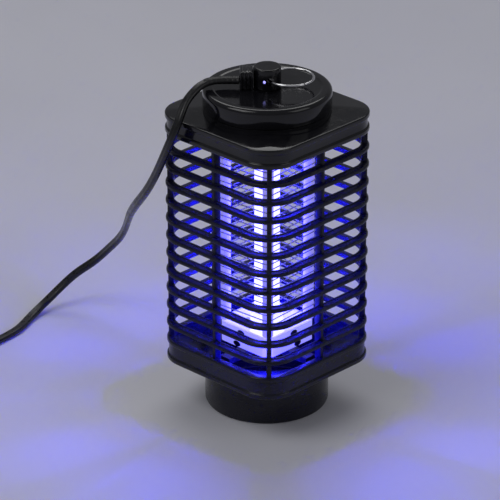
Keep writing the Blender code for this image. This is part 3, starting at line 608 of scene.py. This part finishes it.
def lead_twists(path):
    """Twist angles that lay the flat lead on its broad side by the time it reaches the floor."""
    plain = frames_along(path)
    out, previous = [], 0.0
    floor = next(i for i, p in enumerate(path) if p.z < 4.0)
    along = tangents(path)
    for i, (side, up) in enumerate(plain):
        flat = Vector((0.0, 0.0, 1.0)) - along[i] * along[i].z
        if i >= floor and flat.length > 1e-3:
            flat.normalize()
            angle = math.atan2(flat.dot(along[i].cross(up)), flat.dot(up))
            while angle - previous > math.pi / 2.0:
                angle -= math.pi
            while angle - previous < -math.pi / 2.0:
                angle += math.pi
            previous = angle
        out.append(previous)
    final = out[floor]
    for i in range(floor):
        s = i * LEAD_STEP
        share = 0.25 * step_between(s, 40.0, 100.0) + 0.75 * step_between(s, 150.0, 215.0)
        out[i] = final * share
    return out


TWIST = lead_twists(LEAD)
lead_loops = []
for place, (side, up) in zip(LEAD, frames_along(LEAD, twist=TWIST)):
    lead_loops.append([place + side * a + up * b for a, b in twin_section()])
lead = add_piece("power_lead", new_mesh("power_lead", [skin(lead_loops, closed=False)], 60.0),
                 JACKET, HOUSING, "cord_jacket", "power_cord", "cord_coil", "cord_tail")


def make_relief():
    """Tapered sleeve with shallow rings, where the lead leaves the gland."""
    step = 0.25
    path = [diagonal(*p) for p in spline(CORD_ROUTE, step)[:int(RELIEF_LENGTH / step) - 2]]
    sections = []
    for i in range(len(path)):
        share = i / (len(path) - 1)
        wave = 0.5 + 0.5 * math.cos(2.0 * math.pi * share * 7.0)
        end = 0.5 * (1.0 - step_between(1.0 - share, 0.0, 0.06))
        wide = 3.05 - 0.2 * share - 0.1 * (1.0 - step_between(wave, 0.1, 0.5)) - end
        thick = wide - 0.9
        sections.append([(wide * math.cos(a), thick * math.sin(a)) for a in angles(32)])
    return add_piece("lead_relief", new_mesh("lead_relief", [sweep(path, sections)], 50.0), RELIEF,
                     HOUSING, "relief_rubber", "cord_relief")


def plug_parts():
    """Flat two-pin plug lying on its side; x runs from its sleeve to its face."""
    rows = [(0.0, 3.1, 2.6, 1.9), (0.6, 3.4, 3.0, 2.1), (2.6, 3.5, 3.1, 2.1), (3.0, 3.1, 2.8, 1.9),
            (3.9, 3.1, 2.8, 1.9), (4.3, 3.7, 3.3, 2.2), (6.0, 3.8, 3.5, 2.2), (6.4, 3.4, 3.1, 2.0),
            (7.3, 3.4, 3.1, 2.0), (7.7, 4.0, 3.8, 2.3), (9.4, 4.2, 4.0, 2.4), (9.8, 3.7, 3.5, 2.1),
            (10.7, 3.8, 3.6, 2.1), (11.1, 4.4, 4.3, 2.5), (12.4, 5.1, 4.6, 2.6),
            (13.6, 6.8, 5.2, 2.8),
            (16.0, 8.7, 5.8, 3.0), (19.0, 10.2, 6.2, 3.2), (22.5, 11.1, 6.45, 3.3),
            (28.0, 11.9, 6.6, 3.3), (34.0, 12.4, 6.65, 3.2), (37.6, 12.5, 6.6, 3.1),
            (38.0, 12.1, 6.3, 2.9), (38.5, 12.1, 6.3, 2.9), (38.9, 12.4, 6.5, 3.0),
            (39.6, 12.2, 6.3, 2.9), (40.0, 11.5, 5.7, 2.6)]
    loops = []
    for x, wide, high, corner in rows:
        ring = rounded([(-wide, -high, corner), (wide, -high, corner), (wide, high, corner),
                        (-wide, high, corner)], 6)
        loops.append([(x * PLUG_LENGTH / PLUG_DRAWN, y, z) for y, z in ring])
    grips = []
    for number in range(5):
        x = 19.5 + 2.2 * number
        for side in (-1.0, 1.0):
            ridge = rounded([(x - 0.55, 5.9, 0.0), (x + 0.55, 5.9, 0.0), (x + 0.55, 6.68, 0.5),
                             (x - 0.55, 6.68, 0.5)], 4)
            grips.append(skin([[(a, y, side * (b - sink)) for a, b in ridge]
                               for y, sink in ((-6.2, 0.5), (-5.9, 0.1), (-5.4, 0.0),
                                               (5.4, 0.0), (5.9, 0.1), (6.2, 0.5))], closed=False))
    return [skin(loops, closed=False)] + grips


def pin_part(y):
    """Round pin with a domed tip and an insulating collar's step."""
    rows = [(-0.4, 1.95), (0.3, 2.0), (17.6, 2.0), (18.3, 1.75), (18.75, 1.2), (18.95, 0.6)]
    loops = [[(PLUG_LENGTH + x, y + b, c) for b, c in disc(r, 32)] for x, r in rows]
    return skin(loops, closed=False)


def set_down(parts, place, heading):
    """Turns parts about Z and moves them to a place, all in millimetres."""
    turn = Matrix.Rotation(heading, 3, "Z")
    return [([tuple(turn @ Vector(p) + place) for p in points], faces) for points, faces in parts]


tail_angle = math.radians(TAIL_ANGLE)
tail_along = Vector((math.sin(tail_angle), -math.cos(tail_angle), 0.0))
touch = Vector((COIL_CENTRE[0] + (COIL_RADIUS + COLUMN) * math.cos(tail_angle),
                COIL_CENTRE[1] + (COIL_RADIUS + COLUMN) * math.sin(tail_angle), 0.0))
plug_uv = touch + tail_along * PLUG_START
plug_place = diagonal(plug_uv.x, plug_uv.y, PLUG_AXIS_Z)
plug_heading = math.atan2(tail_along.y, tail_along.x) + math.pi / 4.0
plug_mesh = new_mesh("plug", set_down(plug_parts(), plug_place, plug_heading), 40.0)
plug = add_piece("plug", plug_mesh, PLUG, HOUSING, "plug_plastic", "plug_body")
for number, (side, y) in enumerate((("near", -PIN_PLACE), ("far", PIN_PLACE)), 1):
    pin_mesh = new_mesh("pin", set_down([pin_part(y)], plug_place, plug_heading), 50.0)
    add_piece(f"plug_pin_{side}", pin_mesh, PIN, HOUSING, "pin_steel",
                          f"plug_pin_{number}")


def make_tie():
    """Band round the coil with a small buckle on its outside."""
    a = math.radians(TIE_ANGLE)
    middle = REST_Z + TIE_LIFT + LAYER / 2.0
    loops = []
    for y, grow in ((-3.0, 0.15), (-2.8, 0.0), (2.8, 0.0), (3.0, 0.15)):
        outer = rounded([(-6.5 + grow, -4.15 + grow, 2.6), (6.5 - grow, -4.15 + grow, 2.6),
                         (6.5 - grow, 4.15 - grow, 2.6), (-6.5 + grow, 4.15 - grow, 2.6)], 8)
        loops.append([(COIL_RADIUS + x, y, middle + z) for x, z in outer])
    for y, grow in ((3.0, 0.15), (2.8, 0.0), (-2.8, 0.0), (-3.0, 0.15)):
        inner = rounded([(-5.8 - grow, -3.45 - grow, 1.9), (5.8 + grow, -3.45 - grow, 1.9),
                         (5.8 + grow, 3.45 + grow, 1.9), (-5.8 - grow, 3.45 + grow, 1.9)], 8)
        loops.append([(COIL_RADIUS + x, y, middle + z) for x, z in inner])
    parts = [skin(loops), box_part(COIL_RADIUS - 3.0, COIL_RADIUS + 2.0, -3.2, 3.2,
                                   middle + 3.9, middle + 5.0, 0.4)]
    centre = diagonal(*COIL_CENTRE, 0.0)
    mesh = new_mesh("coil_band", set_down(parts, centre, a + math.pi / 4.0))
    return add_piece("coil_band", mesh, TIE, HOUSING, "tie_black", "coil_tie")


relief = make_relief()
band = make_tie()


# ---------------------------------------------------------------- cage

def make_cage():
    """Louvre rings with a low lip on their inner edge, and the ribs that join them."""
    section = rounded([(LOUVRE_DEPTH, 0.0, 0.35), (0.0, 0.0, 0.6), (0.0, LOUVRE_HEIGHT - 0.5, 1.0),
                       (3.3, LOUVRE_HEIGHT - 0.5, 0.15), (3.7, LOUVRE_HEIGHT, 0.2),
                       (LOUVRE_DEPTH, LOUVRE_HEIGHT, 0.35)], 5)
    rings, names = [], []
    for number in range(1, LOUVRES + 1):
        name = f"louvre_{number:02d}"
        low = foot(name)
        rings.append(skin([inset_ring(inset, low + z) for inset, z in section]))
        names.append(name)
    add_piece("cage_louvres", new_mesh("cage_louvres", rings), CAGE, HOUSING, "cage_plastic",
              *names)

    bottom, ceiling = top("base_housing") - 1.5, foot("top_cover") + 1.5
    bars, names = [], []
    for number in range(4):
        quarter = number * math.pi / 2.0
        bars.append(box_part(50.6, 53.9, -1.3, 1.3, bottom, ceiling, 0.45, math.pi / 4.0 + quarter))
        bars.append(box_part(36.8, 41.5, -1.1, 1.1, bottom, ceiling, 0.45, quarter))
        names += [f"corner_rib_{number + 1}", f"mid_rib_{number + 1}"]
    add_piece("cage_ribs", new_mesh("cage_ribs", bars), CAGE, HOUSING, "cage_plastic", *names)


def roof_height(x, y):
    """Hipped roof, its hips slightly rounded."""
    power = 90.0              # the higher, the sharper the hips
    reach = (abs(x) ** power + abs(y) ** power) ** (1.0 / power)
    return EAVE + ROOF_SLOPE * (HALF - 0.6 - reach)


def make_roof():
    """Skirt with two lips, hipped roof, and the round flat under the cap, as one shell."""
    low, wall = foot("top_cover"), 2.4
    outer = rounded([(wall, low, 0.3), (0.0, low, 1.25), (0.0, low + 2.8, 1.2),
                     (RECESS, low + 3.4, 0.4), (RECESS, EAVE - 3.2, 0.4), (0.0, EAVE - 2.6, 0.7),
                     (0.0, EAVE, 0.8), (5.0, EAVE + 0.45, 0.0), (5.0, low + 9.0, 0.0),
                     (wall, low + 8.6, 0.0)], 5)
    # The last three corners only steer how the others are rounded
    loops = [inset_ring(inset, z) for inset, z in outer[:-3]]
    start, stop = square_ring(HALF - 3.0, CORNER - 3.0), circle_ring(CAP_RADIUS - 0.3)
    for share in np.linspace(0.0, 1.0, 9):
        loops.append(at_height(between(start, stop, share), roof_height))
    loops.append(at_height(stop, CAP_SEAT))
    loops.append(at_height(circle_ring(CAP_RADIUS - 2.5), CAP_SEAT))
    loops.append(at_height(circle_ring(CAP_RADIUS - 2.5), 171.4))
    loops.append(inset_ring(wall, 169.8))
    add_piece("roof", new_mesh("roof", [skin(loops)], 28.0), GLOSSY, HOUSING, "roof_plastic",
              "top_cover")


def make_cap():
    """Round lid with a sunken top, standing in the roof by a short spigot."""
    high, seat, spigot = top("round_cap"), CAP_SEAT + 0.3, 172.9
    profile = rounded([(5.3, high - 0.35, 0.2), (28.5, high - 0.35, 0.8), (29.6, high, 0.8),
                       (CAP_RADIUS, high, 2.5), (CAP_RADIUS, seat, 0.5), (33.6, seat, 0.2),
                       (31.9, seat, 0.2), (31.9, spigot, 0.3), (30.2, spigot, 0.3),
                       (30.2, 176.0, 0.5), (31.6, high - 4.0, 0.8), (29.6, high - 2.2, 0.8),
                       (5.3, high - 2.2, 0.2)], 6)
    add_piece("cap", new_mesh("cap", [lathe(profile, 128)]), GLOSSY, HOUSING, "roof_plastic",
              "round_cap")


def hole_loop(radius, v, start=0.0):
    """Circle round the axis of the post's cross hole."""
    return [tuple(diagonal(HOLE_PLACE + radius * math.cos(a), v,
                           HOLE_HEIGHT + radius * math.sin(a))) for a in angles(40, start)]


def make_hanger():
    """Post with a cross hole that flares at both ends, and a glowing lens beside it that paints a
    spot of blue light, though it is no lamp.
    """
    high, low = top("hanger_post"), foot("hanger_post")
    seat, stem = top("round_cap") + 0.3, 5.0
    profile = rounded([(0.0, high, 0.0), (POST_FACE, high, 0.9), (POST_FACE, seat, 0.25),
                       (stem, seat, 0.2), (stem, low, 0.5), (0.0, low, 0.0)], 6)
    profile.insert(1, (6.1, high))      # keeps the flat top flat under smooth shading
    post = add_piece("hanger", new_mesh("hanger", [solid_lathe(profile, 72)]), POST, HOUSING,
                     "post_plastic", "hanger_post")
    tools = [skin([hole_loop(HOLE_RADIUS, -10.0), hole_loop(HOLE_RADIUS, 10.0)], closed=False)]
    for side in (-1.0, 1.0):
        tools.append(skin([hole_loop(2.9, side * 8.5, 0.04), hole_loop(2.0, side * 6.4, 0.04)],
                          closed=False))
    carve(post, tools)

    # Lens whose emission paints a spot of blue light beside the hole; it is no lamp
    place, face, height = -1.6, -7.24, 191.2
    lens = []
    for radius, proud in ((0.85, -0.6), (0.8, -0.02), (0.6, 0.07), (0.3, 0.1), (0.1, 0.11)):
        lens.append([tuple(diagonal(place + x, face - proud, height + y))
                     for x, y in disc(radius, 32)])
    add_piece("eye_light", new_mesh("eye_light", [skin(lens, closed=False)], 60.0), HOLE_GLOW_PAINT,
              HOUSING, "lamp_glow")


def make_gland():
    """Clamp block beside the post, with upright flutes down its long faces."""
    low, high = foot("cord_gland"), top("cord_gland")
    near, far, half, flute = -7.6, -14.7, 5.5, 0.8
    corners = [(near, half, 0.2)]
    pitch = (near - far) / 7.0
    for i in range(3):
        start = near - pitch * (2 * i + 1)
        corners += [(start, half, 0.3), (start, half - flute, 0.3),
                    (start - pitch, half - flute, 0.3), (start - pitch, half, 0.3)]
    corners += [(far, half, 0.5)]
    corners += [(u, -v, r) for u, v, r in reversed(corners)]
    outline = rounded(corners, 3)
    loops = []
    middle = (near + far) / 2.0
    for inset, z in ((0.35, low), (0.1, low + 0.1), (0.0, low + 0.35), (0.0, high - 0.8),
                     (0.12, high - 0.35), (0.4, high - 0.1), (0.8, high)):
        across, along = 1.0 - inset / (near - middle), 1.0 - inset / half
        loops.append([tuple(diagonal(middle + (u - middle) * across, v * along, z))
                      for u, v in outline])
    add_piece("gland", new_mesh("gland", [skin(loops, closed=False)], 40.0), POST, HOUSING,
              "post_plastic", "cord_gland")


def make_ring():
    """Steel wire ring whose ends meet in a fine butt joint at its far side."""
    centre = diagonal(RING_PLACE, 0.0, HOLE_HEIGHT)
    loops, steps, gap, joint = [], 160, 0.03, 0.6 - math.pi / 4.0
    for i in range(steps + 1):
        a = joint + gap / 2.0 + (2.0 * math.pi - gap) * i / steps
        wire = RING_WIRE * (0.8 if i in (0, steps) else 1.0)
        out = Vector((math.cos(a), math.sin(a), 0.0))
        loops.append([tuple(centre + out * (RING_RADIUS + x) + Vector((0.0, 0.0, z)))
                      for x, z in disc(wire, 24)])
    add_piece("ring", new_mesh("ring", [skin(loops, closed=False)], 50.0), CHROME, RING,
              "ring_chrome",
              "hanging_ring")


# ---------------------------------------------------------------- base and tray

def make_base():
    """Rim with two lips, floor sloping down to the neck, and the neck with its bayonet slots."""
    low, high = 25.7, 38.8
    outer = rounded([(LOUVRE_DEPTH, high, 0.4), (LOUVRE_DEPTH, high - 2.6, 0.0),
                     (6.0, high - 4.0, 0.0), (6.0, low, 0.0), (2.2, low, 0.3), (0.0, low, 0.9),
                     (0.0, low + 2.6, 0.8), (RECESS, low + 3.2, 0.4), (RECESS, high - 3.4, 0.4),
                     (0.0, high - 2.8, 1.2), (0.0, high, 1.25)], 5)
    # Starts at the lowest and innermost point; the corners further in only steer the rounding
    first = min(range(len(outer)), key=lambda i: (outer[i][1], -outer[i][0]))
    outer = [p for p in outer[first:] + outer[:first] if p[0] < 5.5]
    loops = [inset_ring(inset, z) for inset, z in outer]
    start, stop = square_ring(HALF - 5.2, CORNER - 5.2), circle_ring(NECK_INNER)
    for share in np.linspace(0.0, 1.0, 10):
        loops.append(at_height(between(start, stop, share), 35.9 - 5.4 * share ** 0.9))
    for radius, z in ((NECK_INNER, 29.6), (NECK_INNER, 16.3), (NECK_INNER + 0.3, 16.0),
                      (NECK_OUTER - 0.3, 16.0), (NECK_OUTER, 16.3), (NECK_OUTER, 28.6)):
        loops.append(at_height(circle_ring(radius), z))
    loops.append(inset_ring(2.2, 34.0))
    base = add_piece("base", new_mesh("base", [skin(loops)], 30.0), BASE, HOUSING, "base_plastic",
                     "base_housing")
    tools = []
    for a in (0.0, 120.0, 240.0):
        for bottom, roof, start_angle in ((20.4, 23.6, a - 6.5), (15.0, 21.0, a + 15.5)):
            tools.append(arc_part(NECK_INNER - 1.0, NECK_OUTER + 0.2, bottom, roof, start_angle,
                                  a + 28.5))
    carve(base, tools, 30.0)


def arc_part(inner, outer, low, high, start, end):
    """Part of a ring between two angles in degrees."""
    loops = []
    for a in np.radians(np.linspace(start, end, 11)):
        loops.append([(r * math.cos(a), r * math.sin(a), z)
                      for r, z in ((inner, low), (outer, low), (outer, high), (inner, high))])
    return skin(loops, closed=False)


def make_tray():
    """Round cup with a foot ring, and three lugs that turn into the neck's slots."""
    outer, inner, high = TRAY_OUTER, TRAY_INNER, top("catch_tray")
    profile = [(0.0, 0.5), (24.0, 0.5), (25.0, 0.0), (32.4, 0.0), (33.5, 0.5), (outer, 1.7),
               (outer, high - 0.5), (outer - 0.15, high - 0.15), (outer - 0.5, high),
               (inner + 0.4, high), (inner, high - 0.4), (inner, 3.4), (inner - 0.4, 2.6),
               (inner - 1.2, 2.2), (0.0, 2.2)]
    parts = [solid_lathe(profile, 144)]
    for a in (0.0, 120.0, 240.0):
        parts.append(arc_part(30.3, inner + 0.4, 21.0, 23.0, a - 5.0, a + 5.0))
    add_piece("tray", new_mesh("tray", parts, 40.0), BASE, TRAY, "base_plastic", "catch_tray")


# ---------------------------------------------------------------- grid and lamp

POST_PLACE, POST_RADIUS = 16.0, 3.0
WIRE_RADIUS = 0.33
GRID_LOW, GRID_HIGH, GRID_TURNS = 50.5, 155.5, 15


def make_grid():
    """Turned posts with shallow winding grooves, and the two wires round them."""
    low, high = foot("grid_post_1"), top("grid_post_1")
    pitch = (GRID_HIGH - GRID_LOW) / (GRID_TURNS + 0.5)
    posts = []
    for x, y in ((1, 1), (-1, 1), (-1, -1), (1, -1)):
        profile = [(0.0, low), (2.6, low), (POST_RADIUS, low + 0.4)]
        for turn in range(2 * GRID_TURNS):
            z = GRID_LOW + pitch / 2.0 * (turn + 0.5)
            profile += [(POST_RADIUS, z - 0.45), (POST_RADIUS - 0.12, z - 0.2),
                        (POST_RADIUS - 0.12, z + 0.2), (POST_RADIUS, z + 0.45)]
        profile += [(POST_RADIUS, high - 0.4), (2.6, high), (0.0, high)]
        posts.append(solid_lathe(profile, 28, (x * POST_PLACE, y * POST_PLACE)))
    add_piece("grid_posts", new_mesh("grid_posts", posts, 50.0), WHITE, HOUSING, "post_white",
              *[f"grid_post_{i}" for i in range(1, 5)])

    bend = POST_RADIUS + 0.05 + WIRE_RADIUS
    arc, straight = math.pi / 2.0 * bend, 2.0 * POST_PLACE
    around = 4.0 * (straight + arc)
    for name, node, phase in (("wire_live", "grid_wire_live", 0.0),
                              ("wire_return", "grid_wire_return", 0.5)):
        path = []
        for turn in range(GRID_TURNS):
            for corner in range(4):
                x = math.copysign(POST_PLACE, math.cos(math.radians(45.0 + 90.0 * corner)))
                y = math.copysign(POST_PLACE, math.sin(math.radians(45.0 + 90.0 * corner)))
                for k in range(7):
                    a = math.radians(90.0 * corner + 15.0 * k)
                    run = corner * (straight + arc) + arc * k / 6.0
                    z = GRID_LOW + pitch * (phase + turn + run / around)
                    path.append(Vector((x + bend * math.cos(a), y + bend * math.sin(a), z)))
        sections = [disc(WIRE_RADIUS, 8)] * len(path)
        add_piece(name, new_mesh(name, [sweep(path, sections)], 60.0), WIRE, HOUSING, "grid_wire",
                  node)


def make_lamp():
    """U-shaped tube standing in its ribbed holder."""
    low, high = foot("lamp_tube"), top("lamp_tube")
    place, radius = 4.2, 2.7
    bend_z = high - radius - place
    path = [diagonal(-place, 0.0, z) for z in np.linspace(low - 2.0, bend_z, 24)]
    path += [diagonal(-place * math.cos(a), 0.0, bend_z + place * math.sin(a))
             for a in np.linspace(0.0, math.pi, 20)[1:-1]]
    path += [diagonal(place, 0.0, z) for z in np.linspace(bend_z, low - 2.0, 24)]
    loops = []
    across = diagonal(0.0, 1.0, 0.0)
    for point, along in zip(path, tangents(path)):
        side = across.cross(along).normalized()
        loops.append([tuple(point + side * a + across * b) for a, b in disc(radius, 24)])
    add_piece("lamp_u_tube", new_mesh("lamp_u_tube", [skin(loops, closed=False)], 60.0), LAMP,
              HOUSING, "lamp_glow", "lamp_tube")
    base_low, base_high = foot("lamp_base"), top("lamp_base")
    profile = [(0.0, base_high), (7.4, base_high), (8.2, base_high - 0.3), (8.5, base_high - 1.1)]
    for z in np.linspace(base_high - 2.0, base_low + 6.0, 6):
        profile += [(8.5, z), (8.9, z - 0.5), (8.9, z - 1.0), (8.5, z - 1.4)]
    profile += [(9.4, base_low + 3.4), (9.4, base_low + 2.2), (8.6, base_low + 0.8),
                (7.5, base_low), (0.0, base_low)]
    add_piece("lamp_holder", new_mesh("lamp_holder", [solid_lathe(profile, 48)], 40.0), HOLDER,
              HOUSING, "lamp_glow", "lamp_base")


def make_lower_frame():
    """Hollow insulating block under the grid, with dark oval discs set in its sides."""
    low, high = foot("lower_frame"), top("lower_frame")
    half, chamfer, bore_radius = 19.5, 4.0, 9.4
    corners = [(half, -half + chamfer), (half, half - chamfer), (half - chamfer, half),
               (-half + chamfer, half), (-half, half - chamfer), (-half, -half + chamfer),
               (-half + chamfer, -half), (half - chamfer, -half)]

    def outline(inset):
        scale = 1 - inset / half
        return rounded([(x * scale, y * scale, 1.0) for x, y in corners], 4)

    bore = []
    for x, y in outline(0.0):
        a = math.atan2(y, x)
        bore.append((bore_radius * math.cos(a), bore_radius * math.sin(a)))
    loops = [at_height(outline(0.5), low), at_height(outline(0.1), low + 0.15),
             at_height(outline(0.0), low + 0.5), at_height(outline(0.0), high - 0.4),
             at_height(outline(0.1), high - 0.1), at_height(outline(0.4), high),
             at_height(outline(1.4), high), at_height(outline(1.7), high - 0.3),
             at_height(outline(1.8), low + 2.4), at_height(bore, low + 2.4), at_height(bore, low)]
    add_piece("grid_foot", new_mesh("grid_foot", [skin(loops)]), FRAME, HOUSING, "frame_plastic",
              "lower_frame")
    # Dark oval discs, two in each side wall
    dark_discs = []
    for side in range(4):
        turn = side * math.pi / 2.0
        outer_side = 1.0 if side % 2 == 0 else -1.0
        for across, height in ((0.8 * outer_side, high - 2.4), (3.9 * outer_side, low + 1.9)):
            loops = []
            for reach, share in ((18.5, 1.0), (half + 0.15, 1.0), (half + 0.25, 0.93),
                                 (half + 0.25, 0.4)):
                ring = [(across + 2.6 * x, height + 1.6 * y) for x, y in disc(share, 24)]
                loops.append([(*turned(reach, y, turn), z) for y, z in ring])
            dark_discs.append(skin(loops, closed=False))
    add_piece("frame_dark_discs", new_mesh("frame_dark_discs", dark_discs), INNER, HOUSING, "plate_plastic")


make_cage()
make_roof()
make_cap()
make_hanger()
make_gland()
make_ring()
make_base()
make_tray()
make_grid()
make_lamp()
make_lower_frame()

# ---------------------------------------------------------------- CAD nodes that stay

# upper_frame takes FRAME and with it the painted lamp glow
KEPT = {
    "board_screw": STEEL, "bridge_screw": STEEL, "frame_screw": STEEL, "capacitor": CAPACITOR,
    "ceiling_plate": INNER, "choke": CHOKE, "circuit_board": BOARD, "lamp_socket": SOCKET,
    "stem_nut": STEEL, "support_bridge": INNER, "upper_frame": FRAME,
}
for name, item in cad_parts.items():
    look = next((m for key, m in KEPT.items() if name.startswith(key)), None)
    if look and not item.hide_render:
        item.data.materials.clear()
        item.data.materials.append(look)

# ---------------------------------------------------------------- studio

AIM = Vector((0.0, 0.0, 0.1))


def area_light(name, offset, size, power):
    """White soft box that looks at the object from an offset."""
    data = bpy.data.lights.new(name, "AREA")
    data.shape, data.size, data.size_y = "RECTANGLE", size[0], size[1]
    data.energy = power
    item = bpy.data.objects.new(name, data)
    item.location = AIM + offset
    item.rotation_euler = (AIM - item.location).to_track_quat("-Z", "Y").to_euler()
    bpy.context.scene.collection.objects.link(item)


floor_mesh = bpy.data.meshes.new("studio_floor")
floor_mesh.from_pydata([(-6.0, -6.0, 0.0), (6.0, -6.0, 0.0), (6.0, 6.0, 0.0), (-6.0, 6.0, 0.0)], [],
                       [(0, 1, 2, 3)])
floor_mesh.materials.append(floor_material())
floor = bpy.data.objects.new("studio_floor", floor_mesh)
bpy.context.scene.collection.objects.link(floor)

world = bpy.data.worlds.new("studio")
world.use_nodes = True
world.node_tree.nodes["Background"].inputs["Color"].default_value = (0.92, 0.93, 1.0, 1.0)
world.node_tree.nodes["Background"].inputs["Strength"].default_value = 0.17
bpy.context.scene.world = world
bpy.context.scene.view_settings.view_transform = "Standard"

area_light("key", right * -0.9 + back * 0.5 + Vector((0, 0, 1.1)), (0.9, 0.9), 5.5)
area_light("fill", right * 1.1 + back * 0.6 + Vector((0, 0, 0.6)), (0.8, 0.8), 1.6)
area_light("rim", back * -1.0 + Vector((0, 0, 1.5)), (1.2, 0.5), 3.5)


def bulb_light(name, u, v, z, power, size):
    """Blue light of the tube, left out of mirror images."""
    bulb = bpy.data.lights.new(name, "POINT")
    bulb.energy, bulb.color, bulb.shadow_soft_size = power, (0.007, 0.005, 1.0), size
    item = bpy.data.objects.new(name, bulb)
    item.location = diagonal(u, v, z) * MM
    item.visible_glossy = False
    bpy.context.scene.collection.objects.link(item)


for number, z in enumerate((62.0, 88.0, 114.0, 140.0)):
    bulb_light(f"tube_glow_{number}", 0.0, 0.0, z, 1.2, 0.008)
for number, v in enumerate((-39.0, 39.0)):
    bulb_light(f"basin_glow_{number}", 0.0, v, 37.5, 0.35, 0.003)
